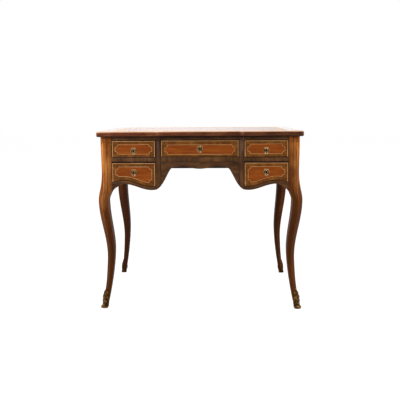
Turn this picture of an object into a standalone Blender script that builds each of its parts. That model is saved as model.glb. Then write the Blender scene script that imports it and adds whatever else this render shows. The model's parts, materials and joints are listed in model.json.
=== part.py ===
"""A small writing desk with a serpentine front on cabriole legs, built piece by piece.

Metres, +Z up. The front faces -Y and the origin lies on the floor under the middle of
the top. Heights are worked out from the top downwards, and widths from the middle out.
"""

import math
from dataclasses import dataclass

import bmesh
import bpy
from mathutils import Vector

# Overall sizes
TOP_WIDTH = 0.894
TOP_DEPTH = 0.480
TOP_HEIGHT = 0.770
TOP_THICKNESS = 0.023
SIDE_OVERHANG = 0.018
FRONT_OVERHANG = 0.020

# Clearances: between seated pieces, round a drawer front, beside a drawer box, round a bolt
JOINT_GAP = 0.0003
DRAWER_GAP = 0.0010
BOX_GAP = 0.0015
BOLT_GAP = 0.0005

# Writing top: an edge rounded below and above, and a sunk leather
TOP_CORNER = 0.016
UNDER_DEPTH = 0.004
UNDER_HEIGHT = 0.005
THUMB_DEPTH = 0.006
THUMB_HEIGHT = 0.008
LEATHER_BORDER = 0.062
LEATHER_CORNER = 0.004
LEATHER_THICKNESS = 0.0015

# Front of the case: posts, stiles and rails
POST_SIDE = 0.049
CENTRE_WIDTH = 0.339
CENTRE_RECESS = 0.012
STILE_WIDTH = 0.0205
STILE_DEPTH = 0.030
TOP_RAIL_HEIGHT = 0.0157
TOP_RAIL_DEPTH = 0.055
MID_RAIL_HEIGHT = 0.022
MID_RAIL_DEPTH = 0.045
UPPER_DRAWER_HEIGHT = 0.0735
LOWER_DRAWER_HEIGHT = 0.105

# Scalloped aprons: a bead under each lower drawer, a bracket and shallow arches in the middle
BEAD_HEIGHT = 0.0148
SCALLOP_RISE = 0.027
LOW_FROM_STILE = 0.017
ARCH_FROM_POST = 0.0515
LEG_JOINT_DROP = 0.034
LEG_JOINT_ROUND = 1.3
BRACKET_REACH = 0.0515
BRACKET_LEAN = 1.57
APRON_DEPTH = 0.022
APRON_HEIGHT = 0.0517
APRON_ARCH_RISE = 0.009
APRON_ARCH_FROM_MIDDLE = 0.081

# Carcass boards
PANEL_THICKNESS = 0.018
SIDE_SET_BACK = 0.0025
BACK_SET_BACK = 0.003
BACK_HEIGHT = 0.196
SIDE_SWAG = 0.022
SIDE_ARCH_FROM_POST = 0.050
DUST_BOARD_THICKNESS = 0.010
PARTITION_LIFT = 0.032
RUNNER_WIDTH = 0.020
RUNNER_HEIGHT = 0.015
RUNNER_LIFT = 0.003
GUIDE_HEIGHT = 0.014

# Cabriole legs: how far the outer and inner faces stand from the faces of the post
POST_FACET = 0.013
KNEE_FACET = 0.024
LEG_EDGE = 0.002
POST_FLARE = 0.003
FLARE_RISE = 0.155
SWELL_RISE = 0.076
KNEE_DROP = 0.037
KNEE_OUT = 0.0114
KNEE_HOLLOW = 0.0150
CALF_HEIGHT = 0.250
CALF_SWELL = 0.0039
ANKLE_HEIGHT = 0.215
ANKLE_IN = 0.0197
FOOT_OUT = 0.0025
FOOT_HOLLOW = 0.0275
FOOT_SWEEP = 1.67
REAR_SLIM = 0.004

# Bronze shoes
SHOE_FRONT_HEIGHT = 0.082
SHOE_BACK_HEIGHT = 0.018
SHOE_WALL = 0.0016
SHOE_LEAF = 0.0038
SHOE_LEAF_FOOT = 0.025
SHOE_TOE = 0.003
SHOE_TOE_HEIGHT = 0.028
SHOE_FLOOR = 0.005

# Drawers
FRONT_THICKNESS = 0.018
FRONT_SET_BACK = 0.0005
BEHIND_DRAWER = 0.0435
BOX_BOARD = 0.010
BOX_HEADROOM = 0.008
BOTTOM_THICKNESS = 0.006
BOTTOM_LIFT = 0.004

# Locks, bolts and escutcheons
UPPER_KEY_RISE = 0.0295
CENTRE_KEY_RISE = 0.0360
LOWER_KEY_RISE = 0.0335
LOCK_WIDTH = 0.056
LOCK_BELOW_KEY = 0.014
LOCK_THICKNESS = 0.011
LOCK_BACKPLATE = 0.003
BOLT_WIDTH = 0.020
BOLT_THICKNESS = 0.005
BOLT_LENGTH = 0.024
BOLT_THROW = 0.008
ESCUTCHEON_WIDTH = 0.029
ESCUTCHEON_HEIGHT = 0.036
ESCUTCHEON_THICKNESS = 0.002
ESCUTCHEON_LOBES = 6
ESCUTCHEON_LOBE_DEPTH = 0.10
KEYHOLE_RADIUS = 0.0026
KEYHOLE_SLOT = 0.0024
KEYHOLE_LENGTH = 0.009

# How finely curves are divided
BEND_STEPS = 7
SCALLOP_STEPS = 20
APRON_STEPS = 44
LEG_STEPS = 17
FOOT_STEPS = 8
FLARE_STEPS = 4
CORNER_STEPS = 4
UNDER_STEPS = 3
THUMB_STEPS = 4
SHOE_STEPS = 9
KEYHOLE_STEPS = 10
ESCUTCHEON_STEPS = 36
LEG_CREASE = math.radians(35)
SHOE_CREASE = math.radians(40)

# Levels and lines that follow from the sizes above
CASE_TOP = TOP_HEIGHT - TOP_THICKNESS
RAIL_BOTTOM = CASE_TOP - TOP_RAIL_HEIGHT
UPPER_FLOOR = RAIL_BOTTOM - UPPER_DRAWER_HEIGHT
LOWER_CEILING = UPPER_FLOOR - MID_RAIL_HEIGHT
SCALLOP_LOW = LOWER_CEILING - LOWER_DRAWER_HEIGHT - BEAD_HEIGHT
SCALLOP_ARCH = SCALLOP_LOW + SCALLOP_RISE
LEG_JOINT = SCALLOP_ARCH - LEG_JOINT_DROP
LOWER_FLOOR = SCALLOP_ARCH + BEAD_HEIGHT + RUNNER_LIFT
APRON_DROP = UPPER_FLOOR - APRON_HEIGHT
SWELL_TOP = LEG_JOINT + SWELL_RISE
KNEE_HEIGHT = LEG_JOINT - KNEE_DROP

CASE_HALF_WIDTH = TOP_WIDTH / 2 - SIDE_OVERHANG
CASE_HALF_DEPTH = TOP_DEPTH / 2 - FRONT_OVERHANG
POST_INNER_X = CASE_HALF_WIDTH - POST_SIDE
POST_INNER_Y = CASE_HALF_DEPTH - POST_SIDE
STILE_INNER = CENTRE_WIDTH / 2
STILE_OUTER = STILE_INNER + STILE_WIDTH
LOW_X = STILE_OUTER + LOW_FROM_STILE
ARCH_X = POST_INNER_X - ARCH_FROM_POST
CORNER_X = STILE_INNER - BRACKET_REACH
SIDE_OUTER = CASE_HALF_WIDTH - SIDE_SET_BACK
SIDE_INNER = SIDE_OUTER - PANEL_THICKNESS
BACK_OUTER = CASE_HALF_DEPTH - BACK_SET_BACK
BACK_INNER = BACK_OUTER - PANEL_THICKNESS
CASE_FRONT = -CASE_HALF_DEPTH
SIDE_FACE = CASE_FRONT + FRONT_SET_BACK
DRAWER_LENGTH = BACK_INNER - BEHIND_DRAWER - SIDE_FACE


@dataclass
class Drawer:
    """One drawer's opening in the case, its face and the height of its keyhole."""

    name: str
    left: float
    right: float
    floor: float
    ceiling: float
    face: float
    key: float
    scalloped: bool = False

    @property
    def middle(self):
        return (self.left + self.right) / 2

    @property
    def back_of_front(self):
        return self.face + FRONT_THICKNESS

    @property
    def front_top(self):
        return self.ceiling - DRAWER_GAP


def mix(start, end, share):
    return start + (end - start) * share


def smooth(share):
    share = min(max(share, 0.0), 1.0)
    return share * share * (3 - 2 * share)


def spaced(start, end, steps):
    return [mix(start, end, i / steps) for i in range(steps + 1)]


def recess(x):
    """How far the front is set back at x: nothing at the sides, an ogee across each stile."""
    return CENTRE_RECESS * smooth((STILE_OUTER - abs(x)) / STILE_WIDTH)


def scallop(x):
    """The wave that the lower drawers and their bead follow."""
    across = (abs(x) - LOW_X) / (ARCH_X - LOW_X)
    return SCALLOP_LOW + SCALLOP_RISE * (1 - math.cos(math.pi * across)) / 2


def middle_arches(x):
    """Shallow arches either side of a drop in the middle of the apron."""
    return APRON_DROP + APRON_ARCH_RISE * (1 - math.cos(math.pi * x / APRON_ARCH_FROM_MIDDLE)) / 2


def lower_edge(x):
    """Lower outline of the front, from the drop in the middle to the joint with a leg."""
    x = abs(x)
    if x > ARCH_X:
        share = min((x - ARCH_X) / ARCH_FROM_POST, 1.0)
        fall = (1 - share**LEG_JOINT_ROUND) ** (1 / LEG_JOINT_ROUND)
        return LEG_JOINT + LEG_JOINT_DROP * fall
    if x >= LOW_X:
        return scallop(x)
    if x >= CORNER_X:
        share = (LOW_X - x) / (LOW_X - CORNER_X)
        return mix(SCALLOP_LOW, middle_arches(CORNER_X), smooth(share**BRACKET_LEAN))
    return middle_arches(x)


def side_edge(y):
    """Lower outline of a side panel: a swag between two arches, falling to the legs."""
    y = abs(y)
    arch_y = POST_INNER_Y - SIDE_ARCH_FROM_POST
    if y > arch_y:
        share = min((y - arch_y) / SIDE_ARCH_FROM_POST, 1.0)
        fall = (1 - share**LEG_JOINT_ROUND) ** (1 / LEG_JOINT_ROUND)
        return LEG_JOINT + LEG_JOINT_DROP * fall
    return SCALLOP_ARCH - SIDE_SWAG * (1 + math.cos(math.pi * y / arch_y)) / 2


def loft(rings):
    """A closed solid through rings of equally many points, with both ends filled."""
    solid = bmesh.new()
    loops = [[solid.verts.new(point) for point in ring] for ring in rings]
    count = len(loops[0])
    for lower, upper in zip(loops, loops[1:]):
        for i in range(count):
            j = (i + 1) % count
            solid.faces.new((lower[i], lower[j], upper[j], upper[i]))
    solid.faces.new(reversed(loops[0]))
    solid.faces.new(loops[-1])
    bmesh.ops.recalc_face_normals(solid, faces=solid.faces)
    return solid


def box(x_range, y_range, z_range):
    (x0, x1), (y0, y1) = x_range, y_range
    return loft([[(x0, y0, z), (x1, y0, z), (x1, y1, z), (x0, y1, z)] for z in z_range])


def along_x(outline, x_range):
    """An outline of (y, z) points drawn out along X."""
    return loft([[(x, y, z) for y, z in outline] for x in x_range])


def along_y(outline, y_range):
    """An outline of (x, z) points drawn out along Y."""
    return loft([[(x, y, z) for x, z in outline] for y in y_range])


def front_column(x, front, back, bottom, top):
    return [(x, front, bottom), (x, back, bottom), (x, back, top), (x, front, top)]


def make_material(name, colour, roughness, metallic=0.0):
    material = bpy.data.materials.new(name)
    material.use_nodes = True
    shader = material.node_tree.nodes["Principled BSDF"]
    shader.inputs["Base Color"].default_value = (*colour, 1.0)
    shader.inputs["Roughness"].default_value = roughness
    shader.inputs["Metallic"].default_value = metallic
    return material


def place(name, solid, material, origin=(0, 0, 0), parent=None, smooth_angle=None):
    """Turns a solid in world coordinates into an object whose origin is at the given point."""
    origin = Vector(origin)
    bmesh.ops.translate(solid, verts=solid.verts, vec=-origin)
    mesh = bpy.data.meshes.new(name)
    solid.to_mesh(mesh)
    solid.free()
    if smooth_angle is not None:
        mesh.shade_smooth()
        mesh.set_sharp_from_angle(angle=smooth_angle)
    piece = bpy.data.objects.new(name, mesh)
    piece.data.materials.append(material)
    piece.parent = parent
    piece.location = origin - parent.location if parent else origin
    bpy.context.collection.objects.link(piece)
    return piece


def combine(piece, tool, operation):
    """A live Boolean with a hidden tool."""
    tool.hide_render = True
    tool.display_type = "WIRE"
    modifier = piece.modifiers.new(tool.name, "BOOLEAN")
    modifier.operation = operation
    modifier.object = tool


def bend_stations():
    """Positions along X that describe both ogees of the front."""
    right = spaced(STILE_INNER, STILE_OUTER, BEND_STEPS)
    return [-x for x in reversed(right)] + right


def top_outline(inset, z):
    """Plan outline of the top, drawn in by an inset, from the front left corner round."""
    half_width = TOP_WIDTH / 2 - inset
    half_depth = TOP_DEPTH / 2 - inset
    radius = max(TOP_CORNER - inset, LEATHER_CORNER)

    def corner(x_sign, y_sign, start):
        centre = (x_sign * (half_width - radius), y_sign * (half_depth - radius))
        angles = spaced(start, start + math.pi / 2, CORNER_STEPS)
        return [(centre[0] + radius * math.cos(a), centre[1] + radius * math.sin(a), z) for a in angles]

    front = [(x, recess(x) - half_depth, z) for x in bend_stations()]
    return (
        corner(-1, -1, math.pi)
        + front
        + corner(1, -1, 1.5 * math.pi)
        + corner(1, 1, 0.0)
        + corner(-1, 1, 0.5 * math.pi)
    )


def build_top(wood, leather):
    rings = []
    for angle in spaced(0.0, math.pi / 2, UNDER_STEPS):
        inset = UNDER_DEPTH * (1 - math.sin(angle))
        rings.append(top_outline(inset, CASE_TOP + UNDER_HEIGHT * (1 - math.cos(angle))))
    for angle in spaced(0.0, math.pi / 2, THUMB_STEPS):
        inset = THUMB_DEPTH * (1 - math.cos(angle))
        rings.append(top_outline(inset, TOP_HEIGHT - THUMB_HEIGHT * (1 - math.sin(angle))))
    bed = TOP_HEIGHT - LEATHER_THICKNESS
    rings.append(top_outline(LEATHER_BORDER, TOP_HEIGHT))
    rings.append(top_outline(LEATHER_BORDER, bed))
    place("top_board", loft(rings), wood)
    sheet = [top_outline(LEATHER_BORDER + JOINT_GAP, z) for z in (bed + JOINT_GAP, TOP_HEIGHT)]
    place("writing_leather", loft(sheet), leather)


def leg_outer(z, slim):
    """How far a leg's outer faces stand out from the post at a height."""
    if z >= SWELL_TOP:
        return POST_FLARE * smooth((z - SWELL_TOP) / FLARE_RISE)
    if z >= KNEE_HEIGHT:
        return KNEE_OUT * smooth((SWELL_TOP - z) / (SWELL_TOP - KNEE_HEIGHT))
    if z >= ANKLE_HEIGHT:
        return mix(KNEE_OUT, -ANKLE_IN - slim, smooth((KNEE_HEIGHT - z) / (KNEE_HEIGHT - ANKLE_HEIGHT)))
    return mix(-ANKLE_IN, FOOT_OUT, (1 - z / ANKLE_HEIGHT) ** FOOT_SWEEP) - slim


def leg_inner(z):
    """How far a leg's inner faces are hollowed into the post at a height."""
    if z >= KNEE_HEIGHT:
        down = max(LEG_JOINT - z, 0.0) / KNEE_DROP
        return KNEE_HOLLOW * (1 - (1 - down) ** 2)
    if z >= CALF_HEIGHT:
        return mix(KNEE_HOLLOW, -CALF_SWELL, smooth((KNEE_HEIGHT - z) / (KNEE_HEIGHT - CALF_HEIGHT)))
    return mix(-CALF_SWELL, FOOT_HOLLOW, (1 - z / CALF_HEIGHT) ** FOOT_SWEEP)


def leg_outline(z, slim, grow=0.0):
    """Section of a leg at a height, about the middle of its post, outer corner at +X +Y."""
    high = POST_SIDE / 2 + leg_outer(z, slim)
    low = leg_inner(z) - POST_SIDE / 2
    widened = smooth((SWELL_TOP - z) / (SWELL_TOP - KNEE_HEIGHT))
    facet = mix(POST_FACET, KNEE_FACET, widened) * (high - low) / POST_SIDE
    high += grow
    low -= grow
    edge = LEG_EDGE
    return [
        (high, low + edge),
        (high, high - facet),
        (high - facet, high),
        (low + edge, high),
        (low, high - edge),
        (low, low + edge),
        (low + edge, low),
        (high - edge, low),
    ]


def build_leg(name, shoe_name, x_sign, y_sign, wood, bronze):
    foot = (x_sign * (CASE_HALF_WIDTH - POST_SIDE / 2), y_sign * (CASE_HALF_DEPTH - POST_SIDE / 2), 0.0)

    def placed(point, z):
        return (foot[0] + x_sign * point[0], foot[1] + y_sign * point[1], z)

    slim = REAR_SLIM if y_sign > 0 else 0.0
    heights = spaced(SHOE_FLOOR + JOINT_GAP, ANKLE_HEIGHT, FOOT_STEPS)
    heights += spaced(ANKLE_HEIGHT, SWELL_TOP, LEG_STEPS)[1:]
    heights += spaced(SWELL_TOP, SWELL_TOP + FLARE_RISE, FLARE_STEPS)[1:]
    heights.append(CASE_TOP - JOINT_GAP)
    leg = loft([[placed(point, z) for point in leg_outline(z, slim)] for z in heights])
    place(name, leg, wood, foot, smooth_angle=LEG_CREASE)

    # The shoe's rim climbs from the inner corner of the foot to the outer one.
    flat = leg_outline(0.0, slim)
    low, high = min(x for x, y in flat), max(x for x, y in flat)
    outwards = [((x + y) / 2 - low) / (high - low) for x, y in flat]
    rims = [mix(SHOE_BACK_HEIGHT, SHOE_FRONT_HEIGHT, share) for share in outwards]
    rings = []
    for share in spaced(0.0, 1.0, SHOE_STEPS):
        height = share * SHOE_FRONT_HEIGHT
        toe = SHOE_TOE * (1 - min(height / SHOE_TOE_HEIGHT, 1.0)) ** 2
        up_leaf = max(height - SHOE_LEAF_FOOT, 0.0) / (SHOE_FRONT_HEIGHT - SHOE_LEAF_FOOT)
        leaf = SHOE_LEAF * math.sin(math.pi * up_leaf)
        ring = []
        for i, rim in enumerate(rims):
            grow = JOINT_GAP + SHOE_WALL + (toe + leaf) * outwards[i]
            ring.append(placed(leg_outline(share * rim, slim, grow)[i], share * rim))
        rings.append(ring)
    for share in spaced(1.0, 0.0, SHOE_STEPS):
        heights = [mix(SHOE_FLOOR, rim, share) for rim in rims]
        rings.append([placed(leg_outline(z, slim, JOINT_GAP)[i], z) for i, z in enumerate(heights)])
    place(shoe_name, loft(rings), bronze, foot, smooth_angle=SHOE_CREASE)


def build_front_frame(wood, veneer):
    """Top rail, the rail under the middle drawer, stiles and aprons."""
    rail_back = CASE_FRONT + TOP_RAIL_DEPTH
    ends = POST_INNER_X - JOINT_GAP
    columns = [
        front_column(x, CASE_FRONT + recess(x), rail_back, RAIL_BOTTOM, CASE_TOP - JOINT_GAP)
        for x in [-ends, *bend_stations(), ends]
    ]
    top_rail = place("front_top_rail", loft(columns), wood)

    middle_end = STILE_INNER - JOINT_GAP
    apron_front = CASE_FRONT + CENTRE_RECESS
    apron_back = apron_front + APRON_DEPTH
    rail = box((-middle_end, middle_end), (apron_front, apron_back), (LOWER_CEILING, UPPER_FLOOR))
    place("center_rail", rail, veneer)
    columns = [
        front_column(x, apron_front, apron_back, lower_edge(x), LOWER_CEILING - JOINT_GAP)
        for x in spaced(-middle_end, middle_end, APRON_STEPS)
    ]
    place("apron_center", loft(columns), veneer)

    for side, sign in (("left", -1), ("right", 1)):
        back, top = CASE_FRONT + STILE_DEPTH, RAIL_BOTTOM - JOINT_GAP
        columns = [
            front_column(sign * x, CASE_FRONT + recess(x), back, lower_edge(x), top)
            for x in spaced(STILE_INNER, STILE_OUTER, BEND_STEPS)
        ]
        place(f"stile_{side}", loft(columns), veneer)
        start, end = STILE_OUTER + JOINT_GAP, POST_INNER_X - JOINT_GAP
        columns = []
        for share in spaced(0.0, 1.0, SCALLOP_STEPS):
            # Closer columns towards the leg, where the edge turns down sharply.
            x = mix(start, end, math.sin(share * math.pi / 2))
            top = scallop(x) + BEAD_HEIGHT
            columns.append(front_column(sign * x, CASE_FRONT, CASE_FRONT + APRON_DEPTH, lower_edge(x), top))
        place(f"apron_{side}", loft(columns), veneer)
    return top_rail


def build_carcass(wood, oak):
    """Back, sides, partitions, dust boards and runners."""
    back_end = POST_INNER_X - JOINT_GAP
    place(
        "back_panel",
        box((-back_end, back_end), (BACK_INNER, BACK_OUTER), (CASE_TOP - BACK_HEIGHT, CASE_TOP - JOINT_GAP)),
        wood,
    )
    side_end = POST_INNER_Y - JOINT_GAP
    rear = BACK_INNER - JOINT_GAP
    stile_back = CASE_FRONT + STILE_DEPTH + JOINT_GAP
    rail_back = CASE_FRONT + TOP_RAIL_DEPTH + JOINT_GAP
    shelves = {}
    for side, sign in (("left", -1), ("right", 1)):
        columns = []
        for share in spaced(-1.0, 1.0, 2 * SCALLOP_STEPS):
            y = side_end * math.sin(share * math.pi / 2)
            bottom, top = side_edge(y), CASE_TOP - JOINT_GAP
            xs = (sign * SIDE_INNER, sign * SIDE_OUTER)
            columns.append([(xs[0], y, bottom), (xs[1], y, bottom), (xs[1], y, top), (xs[0], y, top)])
        place(f"side_panel_{side}", loft(columns), wood)

        foot = SCALLOP_LOW + PARTITION_LIFT
        outline = [
            (stile_back, foot),
            (rear, foot),
            (rear, CASE_TOP - JOINT_GAP),
            (rail_back, CASE_TOP - JOINT_GAP),
            (rail_back, RAIL_BOTTOM - JOINT_GAP),
            (stile_back, RAIL_BOTTOM - JOINT_GAP),
        ]
        place(f"partition_{side}", along_x(outline, (sign * STILE_INNER, sign * STILE_OUTER)), oak)

        # A rail with its dust board behind it, and a guide for the drawer above the post line.
        board_under = UPPER_FLOOR - DUST_BOARD_THICKNESS
        mid_back = CASE_FRONT + MID_RAIL_DEPTH
        outline = [
            (CASE_FRONT, LOWER_CEILING),
            (mid_back, LOWER_CEILING),
            (mid_back, board_under),
            (rear, board_under),
            (rear, UPPER_FLOOR),
            (CASE_FRONT, UPPER_FLOOR),
        ]
        inner, outer = STILE_OUTER + JOINT_GAP, POST_INNER_X - JOINT_GAP
        shelf = place(f"dust_board_{side}", along_x(outline, (sign * inner, sign * outer)), oak)
        lap = DUST_BOARD_THICKNESS
        outline = [
            (sign * (outer - lap), board_under),
            (sign * (SIDE_INNER - JOINT_GAP), board_under),
            (sign * (SIDE_INNER - JOINT_GAP), UPPER_FLOOR + GUIDE_HEIGHT),
            (sign * POST_INNER_X, UPPER_FLOOR + GUIDE_HEIGHT),
            (sign * POST_INNER_X, UPPER_FLOOR),
            (sign * (outer - lap), UPPER_FLOOR),
        ]
        guide = place(f"dust_board_guide_{side}", along_y(outline, (-side_end, side_end)), oak)
        combine(shelf, guide, "UNION")
        shelves[side] = shelf

        runner_x = (sign * (STILE_INNER - RUNNER_WIDTH), sign * (STILE_INNER - JOINT_GAP))
        apron_back = CASE_FRONT + CENTRE_RECESS + APRON_DEPTH + JOINT_GAP
        runner = box(runner_x, (apron_back, rear), (UPPER_FLOOR - RUNNER_HEIGHT, UPPER_FLOOR))
        place(f"center_runner_{side}", runner, oak)

        under = LOWER_FLOOR - RUNNER_HEIGHT
        runner_x = (sign * (STILE_OUTER + JOINT_GAP), sign * (STILE_OUTER + RUNNER_WIDTH))
        side_apron_back = CASE_FRONT + APRON_DEPTH + JOINT_GAP
        runner = box(runner_x, (side_apron_back, rear), (under, LOWER_FLOOR))
        place(f"lower_runner_inner_{side}", runner, oak)
        outline = [
            (sign * (POST_INNER_X - RUNNER_WIDTH), under),
            (sign * (SIDE_INNER - JOINT_GAP), under),
            (sign * (SIDE_INNER - JOINT_GAP), LOWER_FLOOR + GUIDE_HEIGHT),
            (sign * POST_INNER_X, LOWER_FLOOR + GUIDE_HEIGHT),
            (sign * POST_INNER_X, LOWER_FLOOR),
            (sign * (POST_INNER_X - RUNNER_WIDTH), LOWER_FLOOR),
        ]
        place(f"lower_runner_outer_{side}", along_y(outline, (-side_end, side_end)), oak)
    return shelves


def drawer_list():
    drawers = [
        Drawer(
            "center",
            -STILE_INNER,
            STILE_INNER,
            UPPER_FLOOR,
            RAIL_BOTTOM,
            SIDE_FACE + CENTRE_RECESS,
            UPPER_FLOOR + CENTRE_KEY_RISE,
        )
    ]
    for side, left, right in (
        ("left", -POST_INNER_X, -STILE_OUTER),
        ("right", STILE_OUTER, POST_INNER_X),
    ):
        upper = (UPPER_FLOOR, RAIL_BOTTOM, SIDE_FACE, UPPER_FLOOR + UPPER_KEY_RISE)
        lower = (LOWER_FLOOR, LOWER_CEILING, SIDE_FACE, LOWER_FLOOR + LOWER_KEY_RISE)
        drawers.append(Drawer(f"upper_{side}", left, right, *upper))
        drawers.append(Drawer(f"lower_{side}", left, right, *lower, scalloped=True))
    return drawers


def keyhole_outline(x, z):
    """A round hole over a slot, centred at the round."""
    half = KEYHOLE_SLOT / 2
    open_angle = math.asin(half / KEYHOLE_RADIUS)
    angles = spaced(open_angle - math.pi / 2, 1.5 * math.pi - open_angle, KEYHOLE_STEPS)
    ring = [(x + KEYHOLE_RADIUS * math.cos(a), z + KEYHOLE_RADIUS * math.sin(a)) for a in angles]
    return ring + [(x - half, z - KEYHOLE_LENGTH), (x + half, z - KEYHOLE_LENGTH)]


def escutcheon_outline(x, z):
    """A lobed oval cartouche."""
    points = []
    for i in range(ESCUTCHEON_STEPS):
        angle = 2 * math.pi * i / ESCUTCHEON_STEPS
        lobe = 1 - ESCUTCHEON_LOBE_DEPTH * (1 - math.cos(ESCUTCHEON_LOBES * angle)) / 2
        across = ESCUTCHEON_WIDTH / 2 * lobe * math.sin(angle)
        points.append((x + across, z + ESCUTCHEON_HEIGHT / 2 * lobe * math.cos(angle)))
    return points


def build_drawer(drawer, rail_above, finishes):
    """A drawer on its own empty: front, box, bottom, escutcheon, lock and bolt."""
    slide = bpy.data.objects.new(f"drawer_slide_{drawer.name}", None)
    slide.location = (drawer.middle, drawer.face, drawer.floor)
    bpy.context.collection.objects.link(slide)

    def add(kind, solid, material, origin=None, smooth_angle=None):
        return place(f"{kind}_{drawer.name}", solid, material, origin or slide.location, slide, smooth_angle)

    base = drawer.floor + JOINT_GAP
    back = drawer.back_of_front
    left, right = drawer.left + DRAWER_GAP, drawer.right - DRAWER_GAP
    columns = []
    steps = SCALLOP_STEPS if drawer.scalloped else 1
    for x in spaced(left, right, steps):
        bottom = scallop(x) + BEAD_HEIGHT + DRAWER_GAP if drawer.scalloped else base
        columns.append(front_column(x, drawer.face, back, bottom, drawer.front_top))
    front = add("drawer_front", loft(columns), finishes["veneer"])

    left, right = drawer.left + BOX_GAP, drawer.right - BOX_GAP
    joint, end = back + JOINT_GAP, drawer.face + DRAWER_LENGTH
    in_left, in_right, in_end = left + BOX_BOARD, right - BOX_BOARD, end - BOX_BOARD
    top = drawer.ceiling - BOX_HEADROOM
    outline = [
        (left, joint),
        (in_left, joint),
        (in_left, in_end),
        (in_right, in_end),
        (in_right, joint),
        (right, joint),
        (right, end),
        (left, end),
    ]
    add("drawer_box", loft([[(x, y, z) for x, y in outline] for z in (base, top)]), finishes["oak"])
    floor = base + BOTTOM_LIFT
    bottom = box(
        (in_left + JOINT_GAP, in_right - JOINT_GAP),
        (joint, in_end - JOINT_GAP),
        (floor, floor + BOTTOM_THICKNESS),
    )
    add("drawer_bottom", bottom, finishes["oak"])

    x = drawer.middle
    plate_y = (drawer.face - JOINT_GAP - ESCUTCHEON_THICKNESS, drawer.face - JOINT_GAP)
    plate = add("escutcheon", along_y(escutcheon_outline(x, drawer.key), plate_y), finishes["brass"])
    margin = ESCUTCHEON_THICKNESS
    hole = along_y(keyhole_outline(x, drawer.key), (plate_y[0] - margin, back + JOINT_GAP / 2))
    hole = add("keyhole_cutter", hole, finishes["brass"])
    combine(plate, hole, "DIFFERENCE")
    combine(front, hole, "DIFFERENCE")

    # The bolt stands in a pocket at the top of the lock and rises into the rail above.
    lock_top = drawer.front_top - JOINT_GAP
    lock_back = joint + LOCK_THICKNESS
    lock = add(
        "lock",
        box(
            (x - LOCK_WIDTH / 2, x + LOCK_WIDTH / 2),
            (joint, lock_back),
            (drawer.key - LOCK_BELOW_KEY, lock_top),
        ),
        finishes["brass"],
    )
    bolt_y = (lock_back - LOCK_BACKPLATE - BOLT_THICKNESS, lock_back - LOCK_BACKPLATE)
    bolt_x = (x - BOLT_WIDTH / 2, x + BOLT_WIDTH / 2)
    bolt_foot = lock_top - BOLT_LENGTH
    bolt = box(bolt_x, bolt_y, (bolt_foot, lock_top))
    add("lock_bolt", bolt, finishes["steel"], (x, sum(bolt_y) / 2, bolt_foot))
    pocket = box(
        (bolt_x[0] - BOLT_GAP, bolt_x[1] + BOLT_GAP),
        (bolt_y[0] - BOLT_GAP, bolt_y[1] + BOLT_GAP),
        (bolt_foot - JOINT_GAP, lock_top + BOLT_THROW),
    )
    combine(lock, add("lock_pocket_cutter", pocket, finishes["steel"]), "DIFFERENCE")
    play = 2 * BOLT_GAP
    mortise = box(
        (bolt_x[0] - play, bolt_x[1] + play),
        (bolt_y[0] - play, bolt_y[1] + play),
        (drawer.ceiling - BOLT_THROW, drawer.ceiling + BOLT_THROW + play),
    )
    mortise = place(f"mortise_cutter_{drawer.name}", mortise, finishes["steel"])
    combine(rail_above, mortise, "DIFFERENCE")


def build_desk():
    finishes = {
        "walnut": make_material("walnut frame", (0.12, 0.050, 0.020), 0.35),
        "veneer": make_material("tulipwood veneer", (0.22, 0.075, 0.022), 0.30),
        "oak": make_material("oak lining", (0.36, 0.22, 0.11), 0.60),
        "leather": make_material("tooled leather", (0.20, 0.055, 0.025), 0.45),
        "bronze": make_material("gilt bronze", (0.48, 0.30, 0.12), 0.35, 1.0),
        "brass": make_material("aged brass", (0.60, 0.44, 0.20), 0.35, 1.0),
        "steel": make_material("lock steel", (0.35, 0.34, 0.33), 0.40, 1.0),
    }
    build_top(finishes["walnut"], finishes["leather"])
    for end, y_sign in (("front", -1), ("rear", 1)):
        for side, x_sign in (("left", -1), ("right", 1)):
            names = (f"leg_{end}_{side}", f"shoe_{end}_{side}")
            build_leg(*names, x_sign, y_sign, finishes["walnut"], finishes["bronze"])
    top_rail = build_front_frame(finishes["walnut"], finishes["veneer"])
    shelves = build_carcass(finishes["walnut"], finishes["oak"])
    for drawer in drawer_list():
        rail_above = shelves[drawer.name.split("_")[1]] if drawer.scalloped else top_rail
        build_drawer(drawer, rail_above, finishes)


for old in list(bpy.data.objects):
    bpy.data.objects.remove(old, do_unlink=True)
build_desk()
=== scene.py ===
"""Looks of a small kneehole writing desk whose front is set back in the middle.

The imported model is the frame, and its boxes give the places and sizes used here. Each
sub-assembly is a class that builds its finer meshes around the frame and dresses them.
Metres, +Z up, and the front faces -Y.
"""

import json
import logging
import math
from collections.abc import Callable, Sequence
from dataclasses import dataclass, field, replace
from enum import Enum, IntEnum

import bmesh
import bpy
import numpy as np
from mathutils import Matrix, Vector

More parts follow.
